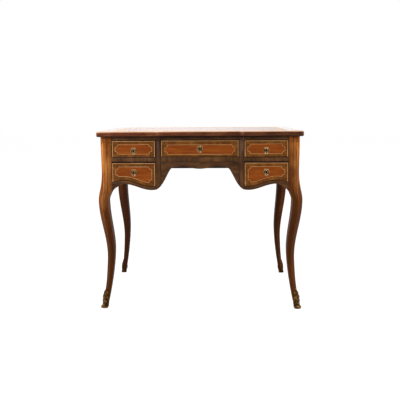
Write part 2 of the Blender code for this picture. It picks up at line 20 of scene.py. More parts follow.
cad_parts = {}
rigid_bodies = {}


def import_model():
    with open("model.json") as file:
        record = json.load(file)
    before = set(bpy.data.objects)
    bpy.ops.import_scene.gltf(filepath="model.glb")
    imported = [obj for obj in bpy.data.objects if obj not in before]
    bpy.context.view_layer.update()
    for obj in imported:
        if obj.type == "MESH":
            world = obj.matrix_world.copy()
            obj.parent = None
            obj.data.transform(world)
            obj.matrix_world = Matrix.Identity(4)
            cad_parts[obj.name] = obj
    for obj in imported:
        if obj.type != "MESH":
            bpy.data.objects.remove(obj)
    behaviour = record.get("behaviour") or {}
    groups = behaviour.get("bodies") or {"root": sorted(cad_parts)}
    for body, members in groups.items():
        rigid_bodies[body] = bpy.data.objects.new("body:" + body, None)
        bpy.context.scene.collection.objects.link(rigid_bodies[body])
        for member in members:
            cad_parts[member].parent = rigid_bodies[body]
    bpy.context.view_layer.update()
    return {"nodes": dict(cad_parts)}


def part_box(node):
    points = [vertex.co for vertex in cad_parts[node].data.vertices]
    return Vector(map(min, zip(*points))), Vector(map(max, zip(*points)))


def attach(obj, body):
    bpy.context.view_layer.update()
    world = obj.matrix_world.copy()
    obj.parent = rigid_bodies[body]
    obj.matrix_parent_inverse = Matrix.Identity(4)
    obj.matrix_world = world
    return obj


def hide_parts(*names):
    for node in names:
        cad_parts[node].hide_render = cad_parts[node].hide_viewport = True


LOG = logging.getLogger("writing_desk")
MM = 0.001
PHOTO_SIZE = 400
CREASE_DEG = 38.0
KEY_CLEAR = 10 * MM

Point = tuple[float, float]
Edge = Callable[[float], float]
Nodes = dict[str, bpy.types.Object]
SocketValue = float | Sequence[float] | bpy.types.NodeSocket | bpy.types.ID


def linear(code: str) -> tuple[float, float, float, float]:
    """Turns an sRGB hex colour into the linear colour that shaders take.

    Args:
        code: Six hex digits, such as "8A4B22".

    Returns:
        Linear red, green and blue, and an alpha of one.
    """
    shares = [int(code[i : i + 2], 16) / 255 for i in (0, 2, 4)]
    parts = [s / 12.92 if s <= 0.04045 else ((s + 0.055) / 1.055) ** 2.4 for s in shares]
    return (parts[0], parts[1], parts[2], 1.0)


def add(
    tree: bpy.types.NodeTree,
    kind: str,
    inputs: dict[str | int, SocketValue] | None = None,
    **settings: object,
) -> bpy.types.Node:
    """Adds a node with its settings and links.

    Args:
        tree: The tree that the node joins.
        kind: Blender's name for the type of node.
        inputs: Values for the node's inputs, or the outputs to link to them.
        settings: Properties of the node.

    Returns:
        The new node.
    """
    node = tree.nodes.new(kind)
    for name, value in settings.items():
        setattr(node, name, value)
    for key, value in (inputs or {}).items():
        if isinstance(value, bpy.types.NodeSocket):
            tree.links.new(value, node.inputs[key])
        else:
            node.inputs[key].default_value = value
    return node


def blank(name: str) -> tuple[bpy.types.Material, bpy.types.Node, bpy.types.NodeSocket]:
    """A new material to be worked up.

    Args:
        name: Name of the material.

    Returns:
        The material, its shader, and the socket that gives a place on the piece.
    """
    material = bpy.data.materials.new(name)
    material.use_nodes = True
    tree = material.node_tree
    place = add(tree, "ShaderNodeTexCoord").outputs["Object"]
    return material, tree.nodes["Principled BSDF"], place


def mix(start: float, end: float, share: float) -> float:
    """Value between two others at a share of the way."""
    return start + (end - start) * share


def smooth(share: float) -> float:
    """Smooth step from 0 to 1, held at both ends."""
    share = min(max(share, 0.0), 1.0)
    return share * share * (3 - 2 * share)


def spaced(start: float, end: float, steps: int) -> list[float]:
    """Evenly spaced values, both ends included."""
    return [mix(start, end, i / steps) for i in range(steps + 1)]


def arc(centre: Point, radius: float, start_deg: float, end_deg: float, steps: int = 6) -> list[Point]:
    """Points along a round arc.

    Args:
        centre: Middle of the arc.
        radius: Its radius.
        start_deg: Angle of the first point.
        end_deg: Angle of the last point.
        steps: Number of chords.

    Returns:
        The points from the first angle to the last.
    """
    angles = [math.radians(a) for a in spaced(start_deg, end_deg, steps)]
    return [(centre[0] + radius * math.cos(a), centre[1] + radius * math.sin(a)) for a in angles]


def smooth_through(places: Sequence[float], values: Sequence[float]) -> Edge:
    """A smooth function through given values.

    Args:
        places: Rising places.
        values: The value at each place.

    Returns:
        A function that follows the values and is constant beyond them.
    """
    xs = np.array(places, float)
    ys = np.array(values, float)
    slopes = np.gradient(ys, xs)

    def value(x: float) -> float:
        """Cubic between the two nearest values."""
        x = float(np.clip(x, xs[0], xs[-1]))
        i = int(np.clip(np.searchsorted(xs, x) - 1, 0, len(xs) - 2))
        step = xs[i + 1] - xs[i]
        t = (x - xs[i]) / step
        start = (1 + 2 * t) * (1 - t) ** 2 * ys[i] + t * (1 - t) ** 2 * step * slopes[i]
        end = t * t * (3 - 2 * t) * ys[i + 1] + t * t * (t - 1) * step * slopes[i + 1]
        return float(start + end)

    return value


class Grain(Enum):
    """Axis that the fibres of a piece run along."""

    X = 0
    Y = 1
    Z = 2


class Tone(IntEnum):
    """Material index of wood: as finished; rubbed lighter, partly wear and partly a painted highlight;
    darkened, partly grime and partly painted shade.
    """

    PLAIN = 0
    RUBBED = 1
    GRIMED = 2


@dataclass(frozen=True)
class Wood:
    """Polished hardwood.

    Scraped and polished wood shows slow stripes along its fibres, short dark pores in
    them, clouds of lighter figure, and a reflection that is softer over open pores.
    """

    name: str
    dark: str
    body: str
    light: str
    stripe_mm: float = 5.0
    pore_mm: float = 0.5
    cloud_mm: float = 45.0
    stripe_run: float = 16.0
    pore_run: float = 24.0
    cloud_run: float = 2.5
    wander_mm: float = 5.0
    wander_over_mm: float = 90.0
    pore_depth_mm: float = 0.05
    pore_dull: float = 0.22
    roughness: float = 0.38
    specular: float = 0.30
    coat: float = 0.0
    coat_roughness: float = 0.05
    # Colour of grime and of painted shade, and the attribute that spreads it over a piece.
    shade_and_grime_colour: str = "1C0E06"
    shade_and_grime_by: str = ""

    def worn(self) -> "Wood":
        """The same wood rubbed lighter, as on an arris; on the legs' arrises it is partly a painted
        highlight.
        """
        return replace(self, name=f"{self.name}_worn", dark=self.body, body=self.light)

    def grimed(self) -> "Wood":
        """A darker copy of the wood: grime, as in a groove, and painted shade in gaps, recesses and under
        overhangs.
        """
        return replace(self, name=f"{self.name}_grimed", dark=self.shade_and_grime_colour, body=self.shade_and_grime_colour, light=self.dark)

    def tones(self, grain: Grain) -> list[bpy.types.Material]:
        """The wood plain, rubbed lighter and darkened, in the order of Tone."""
        return [wood.material(grain) for wood in (self, self.worn(), self.grimed())]

    def scale(self, width_mm: float, run: float, grain: Grain) -> tuple[float, float, float]:
        """Pattern scale for marks of a real width.

        Args:
            width_mm: Width of a mark across the fibres.
            run: How many times longer than wide a mark is.
            grain: Axis of the fibres.

        Returns:
            Scale along each axis, in marks per metre.
        """
        across = 1 / (width_mm * MM)
        scales = [across] * 3
        scales[grain.value] = across / run
        return (scales[0], scales[1], scales[2])

    def material(self, grain: Grain) -> bpy.types.Material:
        """The finish with its fibres along one axis.

        Args:
            grain: Axis of the fibres.

        Returns:
            The material, made once for each axis.
        """
        name = f"{self.name}_along_{grain.name.lower()}"
        if name in bpy.data.materials:
            return bpy.data.materials[name]
        material, shader, place = blank(name)
        tree = material.node_tree

        # Fibres wander, so every pattern reads a place that is pushed about slowly.
        slow = {"Vector": place, "Scale": 1 / (self.wander_over_mm * MM), "Detail": 1.0}
        wander = add(tree, "ShaderNodeTexNoise", slow).outputs["Color"]
        push = {0: wander, 1: (self.wander_mm * MM,) * 3, 2: place}
        fibre = add(tree, "ShaderNodeVectorMath", push, operation="MULTIPLY_ADD").outputs[0]

        def marks(width_mm: float, run: float, detail: float) -> bpy.types.NodeSocket:
            """Noise drawn out along the fibres."""
            scale = self.scale(width_mm, run, grain)
            turned = add(tree, "ShaderNodeMapping", {"Vector": fibre, "Scale": scale})
            noise = {"Vector": turned.outputs[0], "Scale": 1.0, "Detail": detail, "Roughness": 0.6}
            return add(tree, "ShaderNodeTexNoise", noise).outputs["Fac"]

        stripes = marks(self.stripe_mm, self.stripe_run, 4.0)
        clouds = marks(self.cloud_mm, self.cloud_run, 2.0)
        pores = marks(self.pore_mm, self.pore_run, 2.0)
        layers = []
        for marked, span, shade in (
            (stripes, {"From Min": 0.32, "From Max": 0.66}, self.body),
            (clouds, {"From Min": 0.44, "From Max": 0.72, "To Max": 0.85}, self.light),
            (pores, {"From Min": 0.56, "From Max": 0.70, "To Max": 0.65}, self.dark),
        ):
            layers.append((add(tree, "ShaderNodeMapRange", {"Value": marked, **span}).outputs[0], shade))
        open_pore = layers[-1][0]
        if self.shade_and_grime_by:
            # Some parts are darkened more than others, partly by wax and dirt and partly as painted shade.
            stain = add(tree, "ShaderNodeAttribute", attribute_name=self.shade_and_grime_by).outputs["Fac"]
            layers.append((stain, self.shade_and_grime_colour))
        colour: SocketValue = linear(self.dark)
        for share, shade in layers:
            shades = {0: share, 6: colour, 7: linear(shade)}
            colour = add(tree, "ShaderNodeMix", shades, data_type="RGBA").outputs[2]
        span = {"To Min": self.roughness, "To Max": self.roughness + self.pore_dull}
        dull = add(tree, "ShaderNodeMapRange", {"Value": open_pore, **span})
        pit = {"Height": open_pore, "Strength": 0.5, "Distance": self.pore_depth_mm * MM}
        sunk = add(tree, "ShaderNodeBump", pit, invert=True)
        tree.links.new(colour, shader.inputs["Base Color"])
        tree.links.new(dull.outputs[0], shader.inputs["Roughness"])
        tree.links.new(sunk.outputs[0], shader.inputs["Normal"])
        shader.inputs["Specular IOR Level"].default_value = self.specular
        shader.inputs["Coat Weight"].default_value = self.coat
        shader.inputs["Coat Roughness"].default_value = self.coat_roughness
        return material


@dataclass(frozen=True)
class CastMetal:
    """Cast and chased copper alloy.

    High points are rubbed bright, and hollows keep a brown tarnish that is duller. The
    grain of the sand mould still shows as fine pitting.
    """

    name: str
    bright: str
    tarnish: str
    roughness: float = 0.32
    tarnish_dull: float = 0.22
    pit_mm: float = 0.8
    pit_depth_mm: float = 0.05
    patch_mm: float = 9.0
    hollow: Point = (0.47, 0.54)
    rubbed_by: str = ""

    def material(self) -> bpy.types.Material:
        """The finish, made once."""
        if self.name in bpy.data.materials:
            return bpy.data.materials[self.name]
        material, shader, place = blank(self.name)
        tree = material.node_tree

        def cloud(width_mm: float, detail: float) -> bpy.types.NodeSocket:
            """Noise of a real width."""
            noise = {"Vector": place, "Scale": 1 / (width_mm * MM), "Detail": detail}
            return add(tree, "ShaderNodeTexNoise", noise).outputs["Fac"]

        if self.rubbed_by:
            rubbed = add(tree, "ShaderNodeAttribute", attribute_name=self.rubbed_by).outputs["Fac"]
        else:
            ridge = add(tree, "ShaderNodeNewGeometry").outputs["Pointiness"]
            span = {"From Min": self.hollow[0], "From Max": self.hollow[1]}
            rubbed = add(tree, "ShaderNodeMapRange", {"Value": ridge, **span}).outputs[0]
        span = {"From Min": 0.35, "From Max": 0.70, "To Min": -0.45, "To Max": 0.30}
        cloudy = add(tree, "ShaderNodeMapRange", {"Value": cloud(self.patch_mm, 3.0), **span}).outputs[0]
        both = {0: rubbed, 1: cloudy}
        clean = add(tree, "ShaderNodeMath", both, operation="ADD", use_clamp=True).outputs[0]
        shades = {0: clean, 6: linear(self.tarnish), 7: linear(self.bright)}
        colour = add(tree, "ShaderNodeMix", shades, data_type="RGBA")
        span = {"To Min": self.roughness + self.tarnish_dull, "To Max": self.roughness}
        dull = add(tree, "ShaderNodeMapRange", {"Value": clean, **span})
        pits = {"Height": cloud(self.pit_mm, 2.0), "Strength": 0.35, "Distance": self.pit_depth_mm * MM}
        pitted = add(tree, "ShaderNodeBump", pits)
        tree.links.new(colour.outputs[2], shader.inputs["Base Color"])
        tree.links.new(dull.outputs[0], shader.inputs["Roughness"])
        tree.links.new(pitted.outputs[0], shader.inputs["Normal"])
        shader.inputs["Metallic"].default_value = 1.0
        return material


@dataclass(frozen=True)
class Leather:
    """Goatskin pasted flat and polished.

    The skin's grain shows as small rounded pebbles, the colour is mottled by wax, and
    the tops of the pebbles shine.
    """

    name: str
    dark: str
    body: str
    pebble_mm: float = 1.4
    pebble_depth_mm: float = 0.08
    pebble_dull: float = 0.2
    mottle_mm: float = 60.0
    roughness: float = 0.34
    coat: float = 0.6
    coat_roughness: float = 0.22

    def material(self) -> bpy.types.Material:
        """The finish, made for the one hide on the desk."""
        material, shader, place = blank(self.name)
        tree = material.node_tree
        cells = {"Vector": place, "Scale": 1 / (self.pebble_mm * MM)}
        pebbles = add(tree, "ShaderNodeTexVoronoi", cells, feature="SMOOTH_F1").outputs["Distance"]
        patches = {"Vector": place, "Scale": 1 / (self.mottle_mm * MM), "Detail": 4.0}
        mottle = add(tree, "ShaderNodeTexNoise", patches).outputs["Fac"]
        tone = add(tree, "ShaderNodeMapRange", {"Value": mottle, "From Min": 0.36, "From Max": 0.66})
        shades = {0: tone.outputs[0], 6: linear(self.dark), 7: linear(self.body)}
        colour = add(tree, "ShaderNodeMix", shades, data_type="RGBA")
        span = {"To Min": self.roughness, "To Max": self.roughness + self.pebble_dull}
        dull = add(tree, "ShaderNodeMapRange", {"Value": pebbles, **span})
        relief = {"Height": pebbles, "Strength": 0.4, "Distance": self.pebble_depth_mm * MM}
        grained = add(tree, "ShaderNodeBump", relief, invert=True)
        tree.links.new(colour.outputs[2], shader.inputs["Base Color"])
        tree.links.new(dull.outputs[0], shader.inputs["Roughness"])
        tree.links.new(grained.outputs[0], shader.inputs["Normal"])
        shader.inputs["Coat Weight"].default_value = self.coat
        shader.inputs["Coat Roughness"].default_value = self.coat_roughness
        return material


@dataclass(frozen=True)
class Finishes:
    """The finishes of this desk, named for what they are."""

    # Each starts with its name and its colours: dark, body and light, or bright and tarnish.
    leg: Wood = Wood(
        "walnut_solid", "5A2C10", "965422", "C07C3E", stripe_mm=6.0, stripe_run=22.0,
        roughness=0.42, specular=0.03, shade_and_grime_colour="3C1D09", shade_and_grime_by="stain",
    )
    # Painted shade: the rear legs take darker colours than the front ones, as they stand in the case's
    # shade.
    rear_leg: Wood = Wood(
        "walnut_shaded", "381B0A", "66381A", "804C24", stripe_mm=6.0, stripe_run=22.0,
        roughness=0.46, specular=0.04, shade_and_grime_colour="321809", shade_and_grime_by="stain",
    )
    edge: Wood = Wood(
        "walnut_polished", "40190D", "64321A", "845030", stripe_mm=4.0,
        roughness=0.36, specular=0.10, shade_and_grime_by="stain",
    )
    # Painted highlight, partly wear: pale colours for the top's upper rounding, which catches the light
    # from above.
    rim: Wood = Wood(
        "walnut_rubbed", "A8744A", "D2A67C", "E2C09A", stripe_mm=4.0,
        roughness=0.45, specular=0.30, shade_and_grime_colour="8E6446", shade_and_grime_by="stain",
    )
    border: Wood = Wood(
        "kingwood_crossband", "6A4220", "A87440", "C09058", stripe_mm=3.0,
        roughness=0.18, specular=0.5, coat=0.9,
    )
    rail: Wood = Wood(
        "rosewood_faded", "2A180E", "50341D", "684529", stripe_mm=3.5, roughness=0.36, specular=0.07
    )
    stile: Wood = replace(rail, name="rosewood_dark", dark="26140A", body="482C17", light="5E3C21")
    ground: Wood = Wood(
        "kingwood_ground", "46260B", "6A3E15", "7E4E1E", stripe_mm=2.6, cloud_mm=30.0,
        roughness=0.40, specular=0.06,
    )
    panel: Wood = Wood(
        "tulipwood_panel", "642C0C", "7C3D0F", "884615", stripe_mm=3.6, stripe_run=40.0,
        cloud_mm=15.0, cloud_run=9.0, wander_mm=9.0, roughness=0.36, specular=0.06,
    )
    line: Wood = Wood(
        "boxwood_line", "A4744A", "C89A68", "D6AC7C", stripe_mm=2.0, roughness=0.40, specular=0.10
    )
    lining: Wood = Wood(
        "oak_lining", "7C5A34", "A98352", "BE9A68", stripe_mm=3.0, pore_mm=0.7, pore_depth_mm=0.12,
        roughness=0.58, specular=0.20,
    )
    end_grain: Wood = replace(lining, name="oak_end_grain", body="8E6A40", light="A07C4E")
    bronze: CastMetal = CastMetal(
        "gilt_bronze_worn", "926C38", "321D0B", roughness=0.42, rubbed_by="rubbed"
    )
    brass: CastMetal = CastMetal("brass_cast", "D6B482", "1E1208", roughness=0.36, hollow=(0.48, 0.58))
    # Painted shade: a near-black brass for the plate inside the escutcheon's openwork.
    brass_shade_plate: CastMetal = CastMetal("brass_tarnished", "3A2510", "1E1206", roughness=0.60)
    # Painted shade: a near-black brass for the keyhole's walls inside the lock.
    keyhole_shade: CastMetal = CastMetal("brass_blackened", "160E08", "0A0603", roughness=0.60)
    lock_brass: CastMetal = CastMetal("brass_filed", "C2A25C", "8A6A34", hollow=(0.30, 0.50))
    steel: CastMetal = CastMetal("steel_filed", "A09A92", "5E5852", hollow=(0.30, 0.50))
    gilding: CastMetal = CastMetal("gold_leaf", "E0B45C", "9A7430", hollow=(0.35, 0.50))
    leather: Leather = Leather("goatskin_tooled", "5A2018", "7E3226", coat=1.0)


FINISH = Finishes()


@dataclass(frozen=True)
class Face:
    """A flat face: where its (u, v) origin lies, which ways u and v run, and which way it looks."""

    origin: Vector
    right: Vector
    up: Vector
    out: Vector

    def at(self, u: float, v: float, lift: float = 0.0) -> Vector:
        """Point of the face, raised by a lift."""
        return self.origin + self.right * u + self.up * v + self.out * lift

    def grain(self, across: bool) -> Grain:
        """Axis of the face's u direction, or of its v direction."""
        direction = self.right if across else self.up
        return Grain(max(range(3), key=lambda i: abs(direction[i])))


def piece_from(name: str, shape: bmesh.types.BMesh, crease_deg: float = CREASE_DEG) -> bpy.types.Object:
    """Makes an object of a shape.

    Args:
        name: Name of the piece.
        shape: Its mesh, which is freed.
        crease_deg: Edges sharper than this stay sharp.

    Returns:
        The piece, at the origin.
    """
    mesh = bpy.data.meshes.new(name)
    shape.to_mesh(mesh)
    shape.free()
    mesh.shade_smooth()
    mesh.set_sharp_from_angle(angle=math.radians(crease_deg))
    piece = bpy.data.objects.new(name, mesh)
    bpy.context.scene.collection.objects.link(piece)
    return piece


def skin(
    rings: Sequence[Sequence[Sequence[float]]],
    into: bmesh.types.BMesh | None = None,
    finish: Callable[[int, int], int] = lambda band, step: 0,
) -> bmesh.types.BMesh:
    """A closed shape through rings of equally many points.

    Args:
        rings: The rings, from one end to the other.
        into: A shape that it is added to, or none for a new one.
        finish: Material index for each band between two rings and each step round it.

    Returns:
        The shape, with its faces pointing outwards.
    """
    shape = bmesh.new() if into is None else into
    loops = [[shape.verts.new(point) for point in ring] for ring in rings]
    facets = [shape.faces.new(reversed(loops[0])), shape.faces.new(loops[-1])]
    facets[0].material_index = finish(0, 0)
    facets[1].material_index = finish(len(loops) - 2, 0)
    count = len(loops[0])
    for band, (lower, upper) in enumerate(zip(loops, loops[1:])):
        for i in range(count):
            j = (i + 1) % count
            facets.append(shape.faces.new((lower[i], lower[j], upper[j], upper[i])))
            facets[-1].material_index = finish(band, i)
    bmesh.ops.recalc_face_normals(shape, faces=facets)
    return shape


def slab(
    face: Face,
    outline: Sequence[Point],
    low: float,
    high: float,
    into: bmesh.types.BMesh | None = None,
    index: int = 0,
) -> bmesh.types.BMesh:
    """A thin sheet on a face.

    Args:
        face: The face that it lies on.
        outline: Its (u, v) outline.
        low: Lift of its underside.
        high: Lift of its upper side.
        into: A shape that it is added to, or none for a new one.
        index: Its material index.

    Returns:
        The closed shape.
    """
    rings = [[face.at(u, v, lift) for u, v in outline] for lift in (low, high)]
    return skin(rings, into, lambda band, step: index)


def bands(
    face: Face, groups: Sequence[Sequence[Sequence[Point]]], lift: float
) -> bmesh.types.BMesh:
    """Sheets of veneer side by side on a face.

    Args:
        face: The face that they lie on.
        groups: Outlines of the sheets, with one group for each material index.
        lift: How far they stand out from the face, and go into it.

    Returns:
        The sheets as one shape.
    """
    whole = bmesh.new()
    for index, outlines in enumerate(groups):
        for outline in outlines:
            slab(face, outline, -lift, lift, whole, index)
    return whole


def settle(piece: bpy.types.Object) -> bpy.types.Object:
    """Turns a piece with modifiers into a plain mesh.

    Args:
        piece: The piece.

    Returns:
        The same piece without modifiers.
    """
    graph = bpy.context.evaluated_depsgraph_get()
    mesh = bpy.data.meshes.new_from_object(piece.evaluated_get(graph), depsgraph=graph)
    mesh.name = piece.name
    piece.modifiers.clear()
    piece.data = mesh
    return piece


def cut(piece: bpy.types.Object, tool: bpy.types.Object) -> bpy.types.Object:
    """Cuts a tool out of a piece and removes the tool.

    Args:
        piece: The piece that is cut.
        tool: A closed shape.

    Returns:
        The cut piece.
    """
    modifier = piece.modifiers.new("cut", "BOOLEAN")
    modifier.object = tool
    settle(piece)
    piece.data.set_sharp_from_angle(angle=math.radians(CREASE_DEG))
    bpy.data.objects.remove(tool)
    return piece


def dress(
    piece: bpy.types.Object,
    materials: Sequence[bpy.types.Material],
    body: str,
    stands_for: Sequence[str] = (),
) -> bpy.types.Object:
    """Gives a piece its finishes and its place in the frame.

    Args:
        piece: The finished piece.
        materials: One finish for each material index of its faces.
        body: The body that it moves with.
        stands_for: Nodes that it replaces.

    Returns:
        The piece.
    """
    # Clearing the slots would also reset the faces' indices, so slots are filled one by one.
    slots = piece.data.materials
    for index, material in enumerate(materials):
        if index < len(slots):
            slots[index] = material
        else:
            slots.append(material)
    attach(piece, body)
    if stands_for:
        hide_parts(*stands_for)
    LOG.info("%s rides on %s: %d faces", piece.name, body, len(piece.data.polygons))
    return piece


class Section(Enum):
    """What is drawn along a path: a flat strip or a round rod."""

    STRIP = "strip_along_path"
    ROD = "rod_along_path"


def begin_tree(name: str, sizes: dict[str, str]) -> tuple[bpy.types.NodeTree, bpy.types.NodeOutputs]:
    """Starts a node tree that works along paths.

    Args:
        name: Name of the tree.
        sizes: Its own inputs, and the kind of value that each takes.

    Returns:
        The tree, and the sockets that carry its inputs.
    """
    tree = bpy.data.node_groups.new(name, "GeometryNodeTree")
    for socket, kind in {"Path": "Geometry", **sizes, "Facing": "Vector", "Finish": "Material"}.items():
        tree.interface.new_socket(socket, in_out="INPUT", socket_type=f"NodeSocket{kind}")
    tree.interface.new_socket("Mesh", in_out="OUTPUT", socket_type="NodeSocketGeometry")
    return tree, add(tree, "NodeGroupInput").outputs


def end_tree(tree: bpy.types.NodeTree, made: bpy.types.NodeSocket, finish: bpy.types.NodeSocket) -> None:
    """Ends a node tree with a real mesh in one finish.

    Args:
        tree: The tree.
        made: What it made.
        finish: The input that carries the material.
    """
    whole = add(tree, "GeometryNodeRealizeInstances", {0: made}).outputs[0]
    finished = add(tree, "GeometryNodeSetMaterial", {"Geometry": whole, "Material": finish})
    add(tree, "NodeGroupOutput", {0: finished.outputs[0]})


def path_tree(section: Section) -> bpy.types.NodeTree:
    """The node tree that draws a section along paths.

    Args:
        section: Flat strip or round rod.

    Returns:
        The tree, made once for each section.
    """
    if section.value in bpy.data.node_groups:
        return bpy.data.node_groups[section.value]
    tree, given = begin_tree(section.value, {"Width": "Float", "Thickness": "Float", "Corner": "Float"})
    line = add(tree, "GeometryNodeMeshToCurve", {"Mesh": given["Path"]})
    corner = {"Curve": line.outputs[0], "Count": 3, "Radius": given["Corner"], "Limit Radius": True}
    rounded = add(tree, "GeometryNodeFilletCurve", corner, mode="POLY")
    towards = {"Curve": rounded.outputs[0], "Normal": given["Facing"]}
    turned = add(tree, "GeometryNodeSetCurveNormal", towards, mode="FREE")
    if section is Section.STRIP:
        sizes = {"Width": given["Thickness"], "Height": given["Width"]}
        profile = add(tree, "GeometryNodeCurvePrimitiveQuadrilateral", sizes)
    else:
        half = add(tree, "ShaderNodeMath", {0: given["Width"], 1: 0.5}, operation="MULTIPLY")
        sizes = {"Resolution": 10, "Radius": half.outputs[0]}
        profile = add(tree, "GeometryNodeCurvePrimitiveCircle", sizes)
    drawing = {"Curve": turned.outputs[0], "Profile Curve": profile.outputs[0], "Fill Caps": True}
    end_tree(tree, add(tree, "GeometryNodeCurveToMesh", drawing).outputs[0], given["Finish"])
    return tree


def row_tree() -> bpy.types.NodeTree:
    """The node tree that repeats a small shape along paths.

    Returns:
        The tree, made once.
    """
    name = "row_along_path"
    if name in bpy.data.node_groups:
        return bpy.data.node_groups[name]
    tree, given = begin_tree(name, {"Shape": "Object", "Spacing": "Float"})
    line = add(tree, "GeometryNodeMeshToCurve", {"Mesh": given["Path"]})
    steps = {"Curve": line.outputs[0], "Length": given["Spacing"]}
    points = add(tree, "GeometryNodeCurveToPoints", steps, mode="LENGTH").outputs
    along = add(tree, "FunctionNodeAlignRotationToVector", {"Vector": points["Tangent"]}, axis="X")
    towards = {"Rotation": along.outputs[0], "Vector": given["Facing"]}
    upright = add(tree, "FunctionNodeAlignRotationToVector", towards, axis="Z", pivot_axis="X").outputs[0]
    shape = add(tree, "GeometryNodeObjectInfo", {"Object": given["Shape"]}).outputs["Geometry"]
    placing = {"Points": points[0], "Instance": shape, "Rotation": upright}
    end_tree(tree, add(tree, "GeometryNodeInstanceOnPoints", placing).outputs[0], given["Finish"])
    return tree


@dataclass(frozen=True)
class Path:
    """A line of points in the frame, open or closed."""

    points: Sequence[Sequence[float]]
    closed: bool = False


def grow(
    name: str, tree: bpy.types.NodeTree, paths: Sequence[Path], inputs: dict[str, object]
) -> bpy.types.Object:
    """Makes a piece by running a node tree on paths.

    Args:
        name: Name of the piece.
        tree: The tree.
        paths: The paths that it works along.
        inputs: Values for the tree's named inputs.

    Returns:
        The piece as a plain mesh.
    """
    mesh = bpy.data.meshes.new(name)
    points: list[Sequence[float]] = []
    edges: list[tuple[int, int]] = []
    for path in paths:
        first = len(points)
        points.extend(path.points)
        edges.extend((i, i + 1) for i in range(first, len(points) - 1))
        if path.closed:
            edges.append((len(points) - 1, first))
    mesh.from_pydata(points, edges, [])
    piece = bpy.data.objects.new(name, mesh)
    modifier = piece.modifiers.new(tree.name, "NODES")
    modifier.node_group = tree
    sockets = {item.name: item.identifier for item in tree.interface.items_tree if item.in_out == "INPUT"}
    for key, value in inputs.items():
        modifier[sockets[key]] = value
    bpy.context.scene.collection.objects.link(piece)
    settle(piece)
    piece.data.shade_smooth()
    piece.data.set_sharp_from_angle(angle=math.radians(40))
    return piece


def joined(
    name: str, pieces: Sequence[bpy.types.Object], finishes: Sequence[int] = ()
) -> bpy.types.Object:
    """Joins pieces into one.

    Args:
        name: Name of the joined piece.
        pieces: The pieces, which are removed.
        finishes: Material index for each piece, 0 if not given.

    Returns:
        The joined piece.
    """
    shape = bmesh.new()
    for piece, index in zip(pieces, finishes or [0] * len(pieces)):
        indices = np.full(len(piece.data.polygons), index, np.int32)
        piece.data.polygons.foreach_set("material_index", indices)
        shape.from_mesh(piece.data)
        bpy.data.objects.remove(piece)
    return piece_from(name, shape)


def eased(node: bpy.types.Object, name: str, width: float) -> bpy.types.Object:
    """A copy of a node whose sharp edges are rounded over.

    Args:
        node: The node's object.
        name: Name of the copy.
        width: Width of the rounding.

    Returns:
        The copy, with the rounded edges at material index 1.
    """
    shape = bmesh.new()
    shape.from_mesh(node.data)
    bmesh.ops.remove_doubles(shape, verts=shape.verts, dist=1e-6)
    flat = math.radians(0.5)
    bmesh.ops.dissolve_limit(shape, angle_limit=flat, verts=shape.verts, edges=shape.edges)
    for facet in shape.faces:
        facet.material_index = 0
    piece = piece_from(name, shape)
    for _ in range(2):
        piece.data.materials.append(None)
    modifier = piece.modifiers.new("ease", "BEVEL")
    modifier.width = width
    modifier.segments = 2
    modifier.limit_method = "ANGLE"
    modifier.angle_limit = math.radians(50)
    modifier.material = 1
    settle(piece)
    piece.data.shade_smooth()
    piece.data.set_sharp_from_angle(angle=math.radians(32))
    return piece


def lower_edge_of(node: bpy.types.Object, face: Face, pierced: tuple[float, float] = (0.0, 0.0)) -> Edge:
    """Lower outline of a node on one of its faces.

    Args:
        node: The node's object.
        face: The face that the outline lies on.
        pierced: Range of u that holds a keyhole.

    Returns:
        Height of the lower edge as a smooth function of u.
    """
    lowest: dict[float, float] = {}
    for vertex in node.data.vertices:
        offset = vertex.co - face.origin
        if abs(offset.dot(face.out)) > 0.2 * MM:
            continue
        u = round(offset.dot(face.right), 5)
        if pierced[0] < u < pierced[1]:
            continue
        v = offset.dot(face.up)
        lowest[u] = min(v, lowest.get(u, v))
    places = sorted(lowest)
    return smooth_through(places, [lowest[u] for u in places])


def facing(direction: tuple[float, float, float], distance: float) -> Face:
    """An upright face at a distance from the middle of the desk.

    Args:
        direction: Which way it looks.
        distance: How far out it lies.

    Returns:
        The face, with u to the right as seen from outside.
    """
    out = Vector(direction)
    up = Vector((0.0, 0.0, 1.0))
    return Face(out * distance, up.cross(out), up, out)


def level(height: float = 0.0) -> Face:
    """A level face that looks up, with u along X and v along Y."""
    return Face(Vector((0, 0, height)), Vector((1, 0, 0)), Vector((0, 1, 0)), Vector((0, 0, 1)))


def oak_board(nodes: Nodes, node: str, name: str, ease: float, grain: Grain, body: str) -> None:
    """A plain oak piece in the place of a node, lighter along its eased edges.

    Args:
        nodes: The frame's nodes.
        node: Name of the node that it stands for.
        name: Name of the piece.
        ease: How far its edges are rounded.
        grain: Axis of its fibres.
        body: The body that it moves with.
    """
    wood = FINISH.lining
    finishes = [wood.material(grain), wood.worn().material(grain)]
    dress(eased(nodes[node], name, ease), finishes, body, [node])


@dataclass(frozen=True)
class Margins:
    """How far a panel's line lies inside its ground at the sides, top and bottom."""

    side: float
    top: float
    bottom: float


